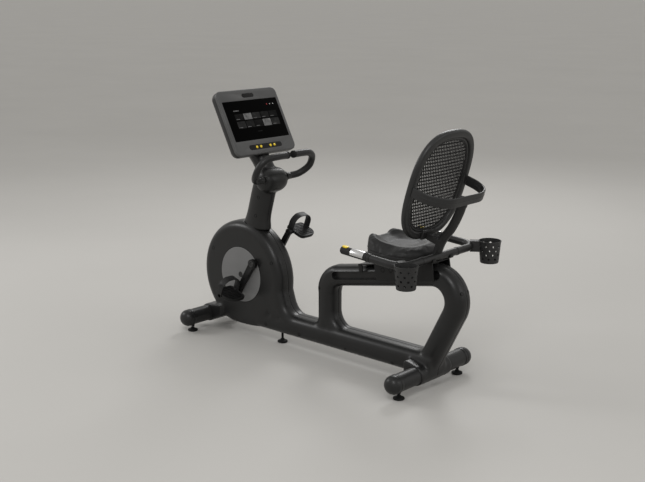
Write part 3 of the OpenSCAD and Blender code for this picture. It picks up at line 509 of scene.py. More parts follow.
def cut(obj, tool):
    mod = obj.modifiers.new("cut", "BOOLEAN")
    mod.operation = "DIFFERENCE"
    mod.solver = "MANIFOLD"
    mod.object = tool
    apply_modifiers(obj)
    bpy.data.objects.remove(tool)


def shroud():
    bm = outer_shell(["left_shroud", "right_shroud"])
    for end in ("front", "rear"):
        c, r, _ = TUBES[end]
        reach = 0.070 if end == "front" else 0.102
        add_solid(bm, cylinder_y(c.x, c.z, r + 0.002, -reach, reach))
    add_solid(bm, cylinder_y(COVER.x, COVER.z, COVER_R + 0.004, -BASE_HALF, BASE_HALF))
    add_solid(bm, cylinder_y(AXLE.x, AXLE.z, 0.02, -BASE_HALF, BASE_HALF, 32))
    add_solid(bm, cylinder_y(COVER.x, COVER.z, 0.12, -0.04, 0.04))
    add_solid(bm, prism_y(slot_outline(0.002), -0.05, 0.05))
    mast_foot = place(MAST_X, 0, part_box("mast_cover")[0].z - 0.004)
    add_solid(bm, lathe("plug", mast_foot, (0, 0, 1), [(0, 0), (0.04, 0), (0.04, 0.03), (0, 0.03)],
                        SHROUD, 32))
    body = new_object("shroud_body", bm, SHROUD)
    melt(body, 0.004, 26)
    for sign in (1, -1):
        lo, hi = sorted((sign * 0.031, sign * 0.12))
        cut(body, prism_y(slot_outline(0), lo, hi))
    halves = []
    for side, sign in SIDES.items():
        half = bpy.data.objects.new(side + "_shroud_shell", body.data.copy())
        bpy.context.scene.collection.objects.link(half)
        bm = bmesh.new()
        bm.from_mesh(half.data)
        out = bmesh.ops.bisect_plane(bm, geom=bm.verts[:] + bm.edges[:] + bm.faces[:],
                                     plane_co=(0, sign * 0.0006, 0), plane_no=(0, sign, 0), clear_inner=True)
        edges = [e for e in out["geom_cut"] if isinstance(e, bmesh.types.BMEdge)]
        for v in {v for e in edges for v in e.verts}:
            v.co -= 0.0008 * Vector((v.normal.x, 0, v.normal.z))
        bmesh.ops.triangle_fill(bm, edges=edges, use_beauty=True, normal=(0, -sign, 0))
        bm.to_mesh(half.data)
        bm.free()
        shade(half.data, 50)
        adopt(half, "frame", side + "_shroud")
        halves.append(half)
    bpy.data.objects.remove(body)
    return halves


SHELLS = shroud()
for side, sign in SIDES.items():
    node = side + "_disc_cover"
    y = sign * BASE_HALF
    r = COVER_R
    cover = lathe(node + "_face", (COVER.x, y, COVER.z), (0, sign, 0), [
        (0.014, -0.002), (r - 0.0006, -0.002), (r - 0.0006, 0.0001), (r - 0.0012, 0.0007),
        (r - 0.0024, 0.0009), (0.05, 0.0009), (0.014, 0.0009), (0.014, -0.002)], DISC, 128)
    # Painted shade: a near-black ring just above the shroud stands for the shadow in the gap round the cover.
    painted_gap_shade = lathe(node + "_gap", (COVER.x, y, COVER.z), (0, sign, 0), [
        (r - 0.0008, -0.002), (r + 0.0012, -0.002), (r + 0.0012, 0.00012), (r - 0.0008, 0.00012),
        (r - 0.0008, -0.002)], SHADE_AND_SCREW_BLACK, 128)
    adopt(join(node + "_piece", [cover, painted_gap_shade]), "frame", node)


# ---------------------------------------------------------------- mast, pod, neck and upper bars
def ellipse(x, z, half_x, half_y):
    return [place(x + half_x * a, half_y * b, z) for a, b in circle(1, 72)]


def mast():
    """Leaning mast: a flared foot that eases into the shaft."""
    rings = []
    for z, flare, depth in ((0.530, 1.6, 0), (0.558, 1.5, 0), (0.566, 1.1, 0), (0.578, 0.6, 0),
                            (0.596, 0.2, 0), (0.620, 0, 0), (0.66, 0, 0), (0.71, 0, 0), (0.748, 0, 0.0015),
                            (0.760, 0, 0.006), (0.768, 0, 0.016), (0.772, 0, 0.03)):
        x = MAST_X - 0.293 * max(0, z - 0.562)
        rings.append(ellipse(x, z, 0.070 + 0.006 * flare - depth, 0.039 + 0.003 * flare - depth * 0.6))
    return skin("mast_shell", rings, SHROUD)


POD = middle("handlebar_pod")
POD_R = (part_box("handlebar_pod")[1].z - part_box("handlebar_pod")[0].z) / 2
POD_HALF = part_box("handlebar_pod")[1].y


def pod():
    r, h = POD_R + 0.002, POD_HALF + 0.002
    side = [(r * math.sin(a) ** 0.62, h * math.cos(a) ** 0.75)
            for a in (math.radians(6 * k) for k in range(16))]
    profile = [(a, -b) for a, b in side[:-1]] + [(r, 0)] + list(reversed(side[:-1]))
    return lathe("pod_drum", (POD.x, 0, POD.z), (0, 1, 0), profile, SHROUD, 96)


def neck():
    """Leaning shell: the spine's points are x and z from the pod, and half of the depth."""
    spine = [Vector((POD_X + dx, POD_Z + dz, half)) for dx, dz, half in (
        (0.018, 0.004, 0.046), (0.024, 0.016, 0.048), (0.052, 0.066, 0.054), (0.094, 0.118, 0.058),
        (0.130, 0.168, 0.050))]
    rings = [ellipse(p.x, p.y, p.z, 0.040 + 0.006 * i / 32) for i, p in enumerate(catmull(spine, 8))]
    rings += [ellipse(POD_X + 0.128, POD_Z + 0.174, 0.040, 0.038),
              ellipse(POD_X + 0.126, POD_Z + 0.177, 0.026, 0.024)]
    return skin("neck_shell", rings, SHROUD)


def upright():
    """Mast, drum and neck flow into each other as one moulding."""
    piece = join("upright_shell", [mast(), pod(), neck()])
    melt(piece, 0.0033, 30)
    shade(piece.data, 60)
    piece.data.materials.clear()
    piece.data.materials.append(SHROUD)
    return adopt(piece, "frame", "mast_cover", "handlebar_pod", "console_neck")


upright_piece = upright()


def upper_bar(side, sign):
    points = [place(POD_X + dx, sign * y, POD_Z + dz) for dx, y, dz in (
        (-0.020, 0.058, 0.010), (-0.020, 0.084, 0.010), (-0.020, 0.104, 0.010), (-0.040, 0.145, 0.020),
        (-0.075, 0.172, 0.055), (-0.100, 0.165, 0.100), (-0.115, 0.130, 0.124), (-0.120, 0.080, 0.129),
        (-0.120, 0.020, 0.129))]
    node = side + "_handlebar"
    bar = sweep(node + "_tube", catmull(points, 10), circle(0.016, 28), TUBE, Vector((1, 0, 0)))
    end = points[-1]
    plug = lathe(node + "_plug", end, (0, -sign, 0), [
        (0, -0.006), (0.0160, -0.006), (0.0168, -0.005), (0.0168, 0.004), (0.0155, 0.0066), (0.012, 0.008),
        (0, 0.008)], RUBBER, 36)
    collar = lathe(node + "_collar", points[0] + Vector((0, sign * 0.013, 0)), (0, sign, 0), [
        (0, -0.004), (0.022, -0.004), (0.022, 0.0015), (0.021, 0.003), (0.0175, 0.0036), (0, 0.0036)],
        CAP, 40)
    adopt(join(node + "_piece", [bar, plug, collar]), "frame", node)


for side, sign in SIDES.items():
    upper_bar(side, sign)

# ---------------------------------------------------------------- console
ON_SCREEN = frame_at(place(0.365, 0, 1.044), (0, -1, 0),
                     (-math.cos(SCREEN_TILT), 0, math.sin(SCREEN_TILT)))


def plate(name, size, corner, centre, z0, z1, edge, material, matrix=None, steps=4):
    """Plate with rounded corners and a rounded front edge, in the frame of the matrix."""
    rings = []
    levels = [(0, z0)] + [(edge * (1 - math.cos(math.radians(90 * k / steps))),
                           z1 - edge + edge * math.sin(math.radians(90 * k / steps)))
                          for k in range(steps + 1)]
    for inset, z in levels:
        outline = rounded_rect(size[0] - 2 * inset, size[1] - 2 * inset, max(corner - inset, 0.0002), 8)
        rings.append([Vector((x + centre[0], y + centre[1], z)) for x, y in outline])
    obj = skin(name, rings, material)
    obj.data.transform(matrix or ON_SCREEN)
    return obj


def console():
    bezel = plate("bezel_plate", (0.380, 0.318), 0.030, (0, -0.007), -0.014, 0, 0.006, BEZEL)
    for size, corner, y in (((0.3446, 0.1946), 0.004, 0), ((0.0746, 0.0206), 0.0102, 0.120),
                            ((0.2086, 0.0246), 0.0122, -0.132)):
        cut(bezel, plate("pocket", size, corner, (0, y), -0.003, 0.01, 0.0001, BEZEL))
    bevel(bezel, 0.0007, 2, 40)
    adopt(bezel, "frame", "console_bezel")

    parts = [plate("screen_glass", (0.344, 0.194), 0.004, (0, 0), -0.006, -0.001, 0.0005, SCREEN)]

    def tile(size, corner, centre, height, tone):
        z = -0.0011
        parts.append(plate("tile", size, corner, centre, z, z + height, 0.0001, tone, steps=1))

    for row, (y, h) in enumerate(((0.019, 0.030), (-0.019, 0.034))):
        for k in range(5):
            x = -0.098 + 0.054 * k
            tile((0.050, h), 0.002, (x, y), 0.00025, TILES[(2 * row + 3 * k) % len(TILES)])
            tile((0.022, 0.0022), 0.0008, (x - 0.010, y - h / 2 + 0.005), 0.0004, TILES[3])
    tile((0.034, 0.004), 0.001, (-0.104, 0.050), 0.0003, TILES[3])
    tile((0.030, 0.0022), 0.001, (0, -0.058), 0.0003, TILES[2])
    for x, tone in ((0.100, DOT_RED), (0.120, DOT_PALE), (0.140, DOT_PALE)):
        tile((0.006, 0.006), 0.0029, (x, 0.068), 0.0003, tone)
    adopt(join("screen_piece", parts), "frame", "screen")

    adopt(plate("badge_blank", (0.074, 0.020), 0.0099, (0, 0.120), -0.002, 0.0005, 0.0005, GLOSS), "frame",
          "badge_plate")
    adopt(plate("button_strip", (0.208, 0.024), 0.0119, (0, -0.132), -0.002, 0, 0.0005, GLOSS), "frame",
          "button_panel")
    buttons = []
    for x in (-0.056, -0.030, 0.030, 0.056):
        low = ON_SCREEN @ Vector((x, -0.132, -0.0005))
        axis = ON_SCREEN.to_3x3() @ Vector((0, 0, 1))
        buttons.append(lathe("button", low, axis, [
            (0, 0), (0.0064, 0), (0.0064, 0.0012), (0.0058, 0.0021), (0.004, 0.0027), (0.0015, 0.003),
            (0, 0.003)], YELLOW, 32))
    adopt(join("button_set", buttons), "frame", "console_buttons")

    rings = []
    for k in range(13):
        a = math.radians(7.5 * k)
        inset = 0.024 * (1 - math.cos(a))
        depth = -0.014 - (0.006 + 0.034 * math.sin(a))
        if k == 0:
            rings.append([Vector((x, y - 0.007, -0.0141)) for x, y in rounded_rect(0.378, 0.316, 0.029, 8)])
        outline = rounded_rect(0.380 - 2 * inset, 0.318 - 2 * inset, 0.030 - inset * 0.6, 8)
        rings.append([Vector((x, y - 0.007, depth)) for x, y in outline])
    rings.append([Vector((x, y - 0.007, -0.054)) for x, y in rounded_rect(0.30, 0.24, 0.02, 8)])
    back = skin("back_shell", list(reversed(rings)), CONSOLE)
    back.data.transform(ON_SCREEN)
    for sign in (1, -1):
        for k in range(7):
            cut(back, plate("slot", (0.060, 0.0045), 0.0022, (sign * 0.105, 0.095 - 0.012 * k),
                            -0.080, -0.050, 0.0001, CONSOLE, steps=1))
    cut(back, plate("slot", (0.120, 0.075), 0.010, (0, 0.055), -0.080, -0.0525, 0.0001, CONSOLE, steps=1))
    bevel(back, 0.0008, 2, 40)
    adopt(back, "frame", "console_back")


TILES = [finish(f"tile_{v}", grey(v), 0.3, grain=0.02, mottle=0.4, mottle_scale=60, specular=0.03)
         for v in (22, 30, 42, 105)]
DOT_RED = finish("dot_red", (0.35, 0.02, 0.02, 1), 0.3, grain=0.02)
DOT_PALE = finish("dot_pale", grey(170), 0.3, grain=0.02)
console()


# ---------------------------------------------------------------- cranks and pedals
def crank(side, sign):
    node = side + "_crank"
    low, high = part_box(node)
    outer = high.y if sign > 0 else -low.y
    arm = rounded_solid(node, "arm", CRANK, 0.0022)
    cap = lathe("cap", (AXLE.x, sign * outer, AXLE.z), (0, sign, 0), [
        (0, -0.001), (0.0165, -0.001), (0.0165, 0.0012), (0.015, 0.0028), (0.011, 0.0034), (0.0095, 0.0024),
        (0.0045, 0.0024), (0, 0.0024)], CAP, 48)
    adopt(join(node + "_piece", [arm, cap]), "crank", node)


for side, sign in SIDES.items():
    crank(side, sign)


def pedal(side, sign):
    strap_low, strap_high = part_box(side + "_pedal_strap")
    inner = strap_low.y if sign > 0 else -strap_high.y
    hub = Vector((AXLE.x + sign * CRANK_LENGTH * math.cos(CRANK_ANGLE), sign * inner,
                  AXLE.z - sign * CRANK_LENGTH * math.sin(CRANK_ANGLE)))
    matrix = frame_at(hub, (math.cos(PEDAL_TILT), 0, math.sin(PEDAL_TILT)),
                      (-math.sin(PEDAL_TILT), 0, math.cos(PEDAL_TILT)))
    flip = Matrix.Diagonal((1, sign, 1, 1))

    def outline(inset):
        """Foot-shaped outline: square in front and round behind."""
        x0, x1, y0, y1 = -0.072 + inset, 0.040 - inset, 0.0036 + inset, 0.1104 - inset
        out = []
        for cx, cy, r, start in ((x1, y1, 0.014, 0), (x0, y1, 0.046, 90), (x0, y0, 0.026, 180),
                                 (x1, y0, 0.014, 270)):
            r = max(r - inset, 0.002)
            sx = 1 if start in (0, 270) else -1
            sy = 1 if start in (0, 90) else -1
            for k in range(9):
                a = math.radians(start + 90 * k / 8)
                out.append((cx - sx * r + r * math.cos(a), cy - sy * r + r * math.sin(a)))
        return out

    rings = []
    for inset, z in ((0.020, -0.0105), (0.014, -0.0102), (0.008, -0.0085), (0.003, -0.0045), (0.0008, 0.0),
                     (0, 0.005), (0, 0.0085), (0.0006, 0.0098), (0.0018, 0.0104), (0.0034, 0.0102),
                     (0.0046, 0.0088), (0.006, 0.0084)):
        rings.append([Vector((x, y, z)) for x, y in outline(inset)])
    parts = [skin("body", rings, PEDAL)]
    for k in range(8):
        x = -0.052 + 0.0115 * k
        reach = 0.034 if k == 0 else 0.042
        parts.append(plate("rib", (0.0042, 2 * reach), 0.002, (x, 0.056), 0.0070, 0.0106, 0.0008, PEDAL,
                           Matrix.Identity(4), 2))
    parts.append(lathe("hub", Vector((0, 0.004, 0)), (0, 1, 0), [
        (0, -0.0035), (0.0105, -0.0035), (0.0115, -0.0025), (0.0115, 0.012), (0.0095, 0.014), (0.0095, 0.100),
        (0.011, 0.102), (0.011, 0.1085), (0.009, 0.110), (0, 0.110)], PEDAL, 32))
    parts.append(lathe("spindle", Vector((0, 0.001, 0)), (0, -1, 0), [
        (0, -0.004), (0.006, -0.004), (0.006, 0.0055), (0.0085, 0.0055), (0.0085, 0.0068), (0.006, 0.0068),
        (0.006, 0.0215), (0.0052, 0.0225), (0, 0.0225)], CRANK, 32))
    piece = join(side + "_pedal_piece", parts)
    piece.data.transform(matrix @ flip)
    if sign < 0:
        piece.data.flip_normals()
    adopt(piece, BODY_OF[side + "_pedal"], side + "_pedal")

    width, height, t, r = 0.114, 0.080, 0.003, 0.046
    path = [Vector((0, t / 2, -0.011)), Vector((0, t / 2, 0.004))]
    for cy, start in ((r, 180), (width - r, 90)):
        for k in range(13):
            a = math.radians(start - 7.5 * k)
            path.append(Vector((0, cy + (r - t / 2) * math.cos(a), height - r + (r - t / 2) * math.sin(a))))
    path += [Vector((0, width - t / 2, 0.004)), Vector((0, width - t / 2, -0.011))]
    band = sweep("band", path, rounded_rect(t, 0.034, 0.0012, 2), STRAP, Vector((1, 0, 0)))
    parts = [band]
    for dx in (-0.0155, 0.0155):
        parts.append(sweep("edge", [p + Vector((dx, 0, 0)) for p in path],
                           rounded_rect(t + 0.0008, 0.003, 0.0012, 2), STRAP, Vector((1, 0, 0))))
    for k in range(7):
        parts.append(plate("tooth", (0.022, 0.0022), 0.0008, (0, 0.022 + 0.0055 * k), width - 0.001,
                           width + 0.0005, 0.0003, STRAP,
                           Matrix(((1, 0, 0, 0), (0, 0, 1, 0), (0, 1, 0, 0), (0, 0, 0, 1))), 1))
    strap = join(side + "_strap_piece", parts)
    strap.data.transform(matrix @ flip @ Matrix.Translation((0.008, 0, 0)))
    if sign < 0:
        strap.data.flip_normals()
    adopt(strap, BODY_OF[side + "_pedal_strap"], side + "_pedal_strap")


for side, sign in SIDES.items():
    pedal(side, sign)

# ---------------------------------------------------------------- carriage and its bracket
carriage = refined("seat_carriage", CRANK, 0.0009)
refined("seat_bracket", CRANK, 0.0016)
refined("bar_cradles", CRANK, 0.0016)
refined("adjust_lever", CRANK, 0.0018)
refined("carriage_rollers", STEEL, 0.0008)

# ---------------------------------------------------------------- backrest
ON_BACK = frame_at(place(-0.682, 0, 0.865), (math.cos(BACK_RECLINE), 0, math.sin(BACK_RECLINE)),
                   (-math.sin(BACK_RECLINE), 0, math.cos(BACK_RECLINE)))
BACK_HALF = Vector((0.193, 0.2385))
MESH_HALF = Vector((0.160, 0.2055))
POWER = 2.73


def back_point(t, inset, x=0.0):
    """Point on the backrest's outline, moved inwards, in its own frame."""
    c, s = math.cos(t), math.sin(t)
    y = (BACK_HALF.x - inset) * math.copysign(abs(c) ** (2 / POWER), c)
    z = (BACK_HALF.y - inset) * math.copysign(abs(s) ** (2 / POWER), s)
    return Vector((x + wrap(y), y, z))


def wrap(y):
    """The backrest curls forward a little towards its sides."""
    return 0.007 * (y / BACK_HALF.x) ** 2


def even_loop(inset, count, x=0.0):
    """Points at even steps round the backrest."""
    fine = [back_point(2 * math.pi * k / 2000, inset, x) for k in range(2000)]
    total = [0.0]
    for a, b in zip(fine, fine[1:] + fine[:1]):
        total.append(total[-1] + (b - a).length)
    out, i = [], 0
    for k in range(count):
        want = total[-1] * k / count
        while total[i + 1] < want:
            i += 1
        t = (want - total[i]) / (total[i + 1] - total[i])
        out.append(fine[i].lerp(fine[(i + 1) % 2000], t))
    return out


def ring_sweep(name, path, section, material):
    """Closed ring: section x lies across the band, outwards, and section y along the frame's x."""
    rings = []
    front = Vector((1, 0, 0))
    for i, p in enumerate(path):
        out = (path[(i + 1) % len(path)] - path[i - 1]).cross(front).normalized()
        rings.append([p + out * a + front * b for a, b in section])
    return skin(name, rings, material, closed=True)


def backrest():
    rim = ring_sweep("rim", even_loop(0.0165, 160), rounded_rect(0.033, 0.026, 0.0105, 5), BACK)
    lip = ring_sweep("lip", even_loop(0.036, 160, 0.001), rounded_rect(0.010, 0.012, 0.003, 3), BACK)
    bead = ring_sweep("bead", even_loop(0.0245, 160, 0.0128), rounded_rect(0.0035, 0.0035, 0.0016, 2), BACK)
    frame_piece = join("backrest_rim", [rim, lip, bead])
    frame_piece.data.transform(ON_BACK)
    adopt(frame_piece, "seat", "backrest_frame")

    pitch_y, pitch_z = 0.0106, 0.0150
    bm = bmesh.new()
    points = {}

    def corner(k, j):
        if (k, j) not in points:
            y, z = k * pitch_y / 2, j * pitch_z
            points[k, j] = bm.verts.new((wrap(y) + 0.0016 * math.sin(math.pi * j), y, z))
        return points[k, j]

    for j in range(-15, 15):
        for i in range(-17, 18):
            k = 2 * i + (j % 2)
            y, z = (k + 1) * pitch_y / 2, (j + 0.5) * pitch_z
            if (abs(y) / MESH_HALF.x) ** POWER + (abs(z) / MESH_HALF.y) ** POWER < 1.02:
                outer = [corner(k, j), corner(k + 1, j), corner(k + 2, j),
                         corner(k + 2, j + 1), corner(k + 1, j + 1), corner(k, j + 1)]
                inner = [bm.verts.new((wrap(y + dy), y + dy, z + dz)) for dy, dz in (
                    (-0.0024, -0.0040), (0, -0.0053), (0.0024, -0.0040),
                    (0.0024, 0.0040), (0, 0.0053), (-0.0024, 0.0040))]
                for a in range(6):
                    b = (a + 1) % 6
                    bm.faces.new((outer[a], outer[b], inner[b], inner[a]))
    lattice = new_object("lattice", bm, MESH)
    solid = lattice.modifiers.new("solid", "SOLIDIFY")
    solid.thickness = 0.0024
    solid.offset = 0
    apply_modifiers(lattice)
    bevel(lattice, 0.0006, 2, 40)
    hem = ring_sweep("hem", even_loop(0.039, 140, -0.001), rounded_rect(0.016, 0.005, 0.002, 2), MESH)
    parts = [lattice, hem]
    for j in range(-12, 13, 3):
        z = j * pitch_z
        reach = MESH_HALF.x * max(0.0, 1 - (abs(z) / MESH_HALF.y) ** POWER) ** (1 / POWER)
        path = [Vector((wrap(y) - 0.0016, y, z)) for y in
                (reach * (k / 16 - 1) for k in range(33))]
        if reach > 0.03:
            parts.append(sweep("thread", path, rounded_rect(0.0026, 0.0036, 0.0012, 2), MESH,
                               Vector((1, 0, 0))))
    mesh_piece = join("backrest_lattice", parts)
    mesh_piece.data.transform(ON_BACK)
    adopt(mesh_piece, "seat", "backrest_mesh")


backrest()


def grab_handle():
    mid, r = 0.004, 0.110
    half, reach = 0.187 - mid, 0.138 - mid
    path = [Vector((-0.002 + wrap(half), half, 0)), Vector((-0.012, half, 0))]
    for k in range(17):
        a = math.radians(90 + 90 * k / 16)
        path.append(Vector((-reach + (r - mid) + (r - mid) * math.cos(a),
                            half - (r - mid) + (r - mid) * math.sin(a), 0)))
    path += [Vector((-reach, y, 0)) for y in (0.045, 0.015)]
    path += [Vector((p.x, -p.y, 0)) for p in reversed(path)]
    band = sweep("band", path, rounded_rect(0.0095, 0.042, 0.0044, 4), BACK)
    rib = sweep("rib", path[3:-3], rounded_rect(0.0115, 0.006, 0.0028, 2), BACK)
    piece = join("grab_handle_band", [band, rib])
    piece.data.transform(ON_BACK @ Matrix.Translation((-0.013, 0, -0.002)))
    adopt(piece, "seat", "grab_handle")


grab_handle()


def post():
    points = [place(x, 0, z) for x, z in ((-0.664, 0.494), (-0.670, 0.545), (-0.701, 0.630), (-0.752, 0.700),
                                          (-0.788, 0.770), (-0.806, 0.828))]
    tube = sweep("tube", catmull(points, 10), circle(0.019, 36), TUBE, Vector((0, 1, 0)))
    arm = plate("arm", (0.084, 0.040), 0.006, (-0.055, 0), -0.2305, -0.2045, 0.004, TUBE, ON_BACK)
    pad = plate("pad", (0.012, 0.090), 0.005, (-0.017, 0), -0.232, -0.196, 0.003, TUBE, ON_BACK)
    collar = lathe("collar", points[-1] - (points[-1] - points[-2]).normalized() * 0.03,
                   points[-1] - points[-2], [(0, -0.006), (0.0215, -0.006), (0.0222, -0.004),
                                             (0.0222, 0.010), (0.0212, 0.012), (0, 0.012)], CAP, 48)
    adopt(join("post_piece", [tube, arm, pad, collar]), "seat", "backrest_post")


post()

# ---------------------------------------------------------------- handlebar below the seat
ARM_Y = 0.254
CORNER_X = -0.694
CORNER = place(CORNER_X, 0, 0.571)
ARM_PITCH = math.atan2(0.594 - 0.571, -0.386 - CORNER_X)
ALONG = Vector((math.cos(ARM_PITCH), 0, math.sin(ARM_PITCH)))


def arm_point(x, sign):
    """Point on an arm of the bar at a station x, measured as in place()."""
    return place(x, sign * ARM_Y, CORNER.z + (x - CORNER_X) * math.tan(ARM_PITCH))


def seat_bar():
    r = 0.064
    left = [arm_point(x, 1) for x in (-0.520, -0.56, -0.60)]
    for k in range(17):
        a = math.radians(90 + 90 * k / 16)
        flat = r + r * math.cos(a)
        left.append(CORNER + ALONG * flat + Vector((0, ARM_Y - r + r * math.sin(a), 0)))
    left += [CORNER + Vector((0, y, 0)) for y in (0.15, 0.10, 0.05)]
    path = left + [Vector((p.x, -p.y, p.z)) for p in reversed(left)]
    parts = [sweep("tube", path, circle(0.016, 32), TUBE)]
    for sign in (1, -1):
        parts.append(lathe("ring", CORNER + Vector((0, sign * 0.118, 0)), (0, 1, 0), [
            (0.0158, -0.007), (0.0172, -0.0064), (0.0176, -0.005), (0.0176, 0.005), (0.0172, 0.0064),
            (0.0158, 0.007)], CAP, 40))
        parts.append(lathe("ring", arm_point(-0.536, sign), ALONG, [
            (0.0155, -0.006), (0.0175, -0.0054), (0.018, -0.004), (0.018, 0.008), (0.0155, 0.009)], CAP, 40))
    adopt(join("seat_bar_piece", parts), "seat", "seat_handlebar")


seat_bar()


def grip(side, sign):
    node = side + "_grip"
    start = arm_point(-0.528, sign)
    length = (arm_point(-0.386, sign) - start).length
    r = 0.017
    profile = [(0, 0), (r + 0.0016, 0), (r + 0.0022, 0.0010), (r + 0.0022, 0.0055), (r + 0.0014, 0.0068),
               (r, 0.0074)]
    profile += [(r, 0.0074 + (length - 0.0185) * k / 20) for k in range(1, 21)]
    profile += [(r - 0.009 + 0.009 * math.cos(math.radians(10 * k)),
                 length - 0.009 + 0.009 * math.sin(math.radians(10 * k))) for k in range(10)]
    profile += [(0, length + 0.0004)]
    adopt(lathe(node + "_sleeve", start, ALONG, profile, GRIP, 56), "seat", node)


for side, sign in SIDES.items():
    grip(side, sign)
refined("pulse_plates", PULSE, 0.0005, 2, 50)
refined("grip_buttons", YELLOW, 0.0011, 3, 40)


def cup(side):
    node = side + "_cup_holder"
    low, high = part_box(node)
    c = (low + high) / 2
    h, top, bottom, wall = high.z - low.z, (high.x - low.x) / 2, 0.039, 0.0025
    profile = [(0, 0), (bottom - 0.003, 0), (bottom - 0.0008, 0.0008), (bottom, 0.003)]
    profile += [(bottom + (top - bottom) * k / 10, h * k / 10) for k in range(1, 10)]
    profile += [(top - 0.0006, h - 0.006), (top + 0.0005, h - 0.005), (top + 0.0010, h - 0.003),
                (top + 0.0006, h - 0.0008), (top - 0.001, h), (top - wall, h - 0.0006)]
    profile += [(bottom + (top - bottom) * k / 10 - wall, h * k / 10) for k in range(9, 0, -1)]
    profile += [(bottom - wall, wall + 0.001), (bottom - wall - 0.002, wall), (0, wall)]
    shell = lathe("shell", (c.x, c.y, low.z), (0, 0, 1), profile, CUP, 72)
    tools = []
    for row in range(4):
        z = low.z + 0.020 + 0.0185 * row
        for k in range(9):
            a = 2 * math.pi * (k + 0.5 * (row % 2)) / 9
            axis = Vector((math.cos(a), math.sin(a), 0))
            tools.append(lathe("hole", Vector((c.x, c.y, z)) + axis * 0.030, axis, [
                (0, 0), (0.0048, 0), (0.0048, 0.025), (0, 0.025)], CUP, 20))
    for k in range(6):
        a = 2 * math.pi * k / 6
        tools.append(lathe("hole", (c.x + 0.02 * math.cos(a), c.y + 0.02 * math.sin(a), low.z - 0.01),
                           (0, 0, 1), [(0, 0), (0.004, 0), (0.004, 0.02), (0, 0.02)], CUP, 16))
    cut(shell, join("holes", tools))
    shell.name = node + "_shell"
    shade(shell.data, 35)
    adopt(shell, "seat", node)
    refined(side + "_cup_bracket", CUP, 0.003)


for side in SIDES:
    cup(side)


# ---------------------------------------------------------------- seat cushion
def relaxed_cushion():
    """The CAD cushion as a stuffed, crowned pad: cloth under pressure on a fixed underside."""
    low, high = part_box("seat_cushion")
    c = (low + high) / 2
    pad = new_object("seat_pad", cad_copy(["seat_cushion"]), LEATHER)
    for v in pad.data.vertices:
        v.co = Vector((c.x + (v.co.x - c.x) * 0.975, v.co.y * 0.975, low.z + (v.co.z - low.z) * 0.965))
    melt(pad, 0.005, 8)
    start = [v.co.copy() for v in pad.data.vertices]
    held = pad.vertex_groups.new(name="held")
    held.add([v.index for v in pad.data.vertices if v.co.z < low.z + 0.012], 1.0, "REPLACE")
    cloth = pad.modifiers.new("cloth", "CLOTH")
    cloth.settings.use_pressure = True
    cloth.settings.uniform_pressure_force = 4.0
    cloth.settings.vertex_group_mass = "held"
    cloth.settings.effector_weights.gravity = 0
    cloth.settings.quality = 6
    cloth.settings.mass = 0.3
    cloth.point_cache.frame_start = 1
    cloth.point_cache.frame_end = 20
    for step in range(1, 21):
        bpy.context.scene.frame_set(step)
    apply_modifiers(pad)
    bpy.context.scene.frame_set(1)
    most = 0.009
    for v, old in zip(pad.data.vertices, start):
        move = v.co - old
        if move.length > most:
            v.co = old + move * (most / move.length)
    divide = pad.modifiers.new("divide", "SUBSURF")
    divide.levels = 1
    apply_modifiers(pad)
    seams = ((0.024, 0.0022, 0.0026), (0.031, -0.0008, 0.0030))
    for v in pad.data.vertices:
        out = Vector((v.co.x - c.x, v.co.y, 0)).normalized()
        rise = v.co.z - low.z - 0.006 * (v.co.x - c.x) / 0.14
        steep = 1 - abs(v.normal.z)
        for height, depth, spread in seams:
            v.co -= out * depth * steep * math.exp(-((rise - height) / spread) ** 2)
        v.co.z = max(v.co.z, low.z)
    shade(pad.data, 75)
    adopt(pad, "seat", "seat_cushion")


relaxed_cushion()


# ---------------------------------------------------------------- screws of the shroud
def surface_of(objs):
    bm = bmesh.new()
    for obj in objs:
        bm.from_mesh(obj.data)
    tree = BVHTree.FromBMesh(bm)
    bm.free()
    return tree


def screws(objs, spots, body, stem, radius=0.0052):
    """Screws on both sides at (x, z) stations, set on the surface that they meet."""
    tree = surface_of(objs)
    found = []
    for x, z in spots:
        for sign in (1, -1):
            at = place(x, sign * 0.3, z)
            hit, normal, _, _ = tree.ray_cast(at, Vector((0, -sign, 0)))
            if hit is not None:
                found.append(screw("screw", hit - normal * 0.0003, normal, radius))
    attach(join(stem, found), body)


screws(SHELLS, ((0.219, 0.393), (0.167, 0.259), (0.044, 0.087), (-0.235, 0.077), (-0.500, 0.078),
                (-0.825, 0.440), (0.614, 0.403), (-0.070, 0.328), (0.26, 0.090)), "frame", "shroud_screws")
screws([carriage], ((-0.446, 0.480), (-0.489, 0.487)), "seat", "carriage_screws", 0.0068)
screws([upright_piece], ((0.319, 0.687), (0.339, 0.598)), "frame", "mast_screws")

# ---------------------------------------------------------------- finishes of the CAD pieces that still show
FINISH = {
    "tube_paint": TUBE, "cap_plastic": CAP, "foot_rubber": RUBBER, "wheel_rubber": RUBBER,
    "shroud_plastic": SHROUD, "disc_plastic": DISC, "bright_steel": STEEL, "crank_steel": CRANK,
    "pedal_plastic": PEDAL, "strap_plastic": STRAP, "console_plastic": CONSOLE, "bezel_plastic": BEZEL,
    "screen_glass": SCREEN, "gloss_black": GLOSS, "yellow_button": YELLOW, "seat_cover": LEATHER,
    "back_frame_plastic": BACK, "mesh_plastic": MESH, "grip_rubber": GRIP, "pulse_metal": PULSE,
    "cup_plastic": CUP}
for node, obj in frame["nodes"].items():
    for place_of in obj.material_slots:
        place_of.link = "OBJECT"
        place_of.material = FINISH[SLOT_OF[node]]


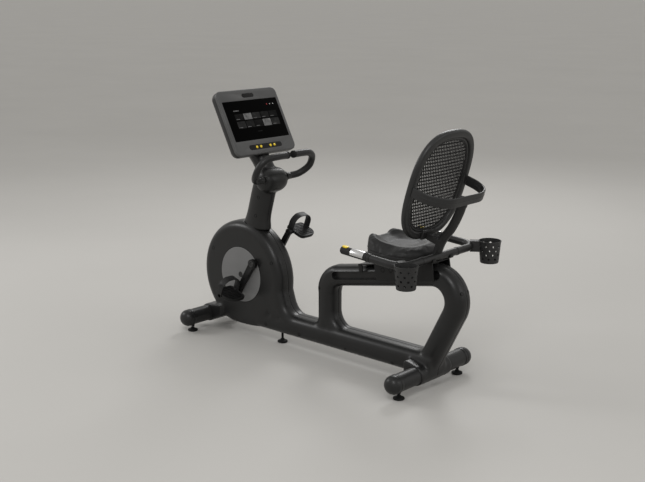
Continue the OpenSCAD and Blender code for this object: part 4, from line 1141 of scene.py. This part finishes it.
# ---------------------------------------------------------------- floor, light and camera
def stage_floor():
    mat = finish("floor_pale", (0.50, 0.49, 0.47, 1), 0.6, mottle=0.02, mottle_scale=0.6, grain=0.05,
                 specular=0.1)
    bm = bmesh.new()
    centre = bm.verts.new((0, 0, -0.0003))
    rings = []
    for r in (2, 6, 20, 60, 180):
        rings.append([bm.verts.new((r * math.cos(2 * math.pi * k / 64), r * math.sin(2 * math.pi * k / 64),
                                    -0.0003)) for k in range(64)])
    for k in range(64):
        bm.faces.new((centre, rings[0][k], rings[0][(k + 1) % 64]))
        for a, b in zip(rings, rings[1:]):
            bm.faces.new((a[k], b[k], b[(k + 1) % 64], a[(k + 1) % 64]))
    new_object("floor", bm, mat)


def lamp(name, at, target, size, power):
    light = bpy.data.lights.new(name, "AREA")
    light.shape = "DISK"
    light.size = size
    light.energy = power
    obj = bpy.data.objects.new(name, light)
    bpy.context.scene.collection.objects.link(obj)
    obj.location = at
    obj.rotation_euler = (Vector(at) - Vector(target)).to_track_quat("Z", "Y").to_euler()


stage_floor()
lamp("key", (-2.2, 3.2, 3.6), (0, 0, 0.5), 1.8, 60)
lamp("fill", (-4.2, -1.4, 2.2), (0, 0, 0.5), 2.4, 16)
lamp("front", (3.6, 2.2, 2.6), (0, 0, 0.6), 1.6, 44)
lamp("rim", (1.8, -3.6, 3.4), (0, 0, 0.6), 1.6, 55)

scene = bpy.context.scene
world = bpy.data.worlds.new("studio")
scene.world = world
world.use_nodes = True
sky = world.node_tree.nodes["Background"]
sky.inputs["Color"].default_value = (0.72, 0.71, 0.69, 1)
sky.inputs["Strength"].default_value = 0.86
scene.view_settings.view_transform = "Standard"

camera = bpy.data.cameras.new("camera")
camera.lens = 60.56
camera.sensor_width = 36
camera.clip_end = 400
eye = bpy.data.objects.new("camera", camera)
scene.collection.objects.link(eye)
AZIMUTH, ELEVATION = math.radians(222.3386), math.radians(13.2767)
BEHIND = Vector((math.sin(AZIMUTH) * math.cos(ELEVATION), -math.cos(AZIMUTH) * math.cos(ELEVATION),
                 math.sin(ELEVATION)))
eye.location = (-3.2307 + SHIFT, 3.4923, 1.6466)
eye.rotation_euler = BEHIND.to_track_quat("Z", "Y").to_euler()
scene.camera = eye

bpy.context.view_layer.update()
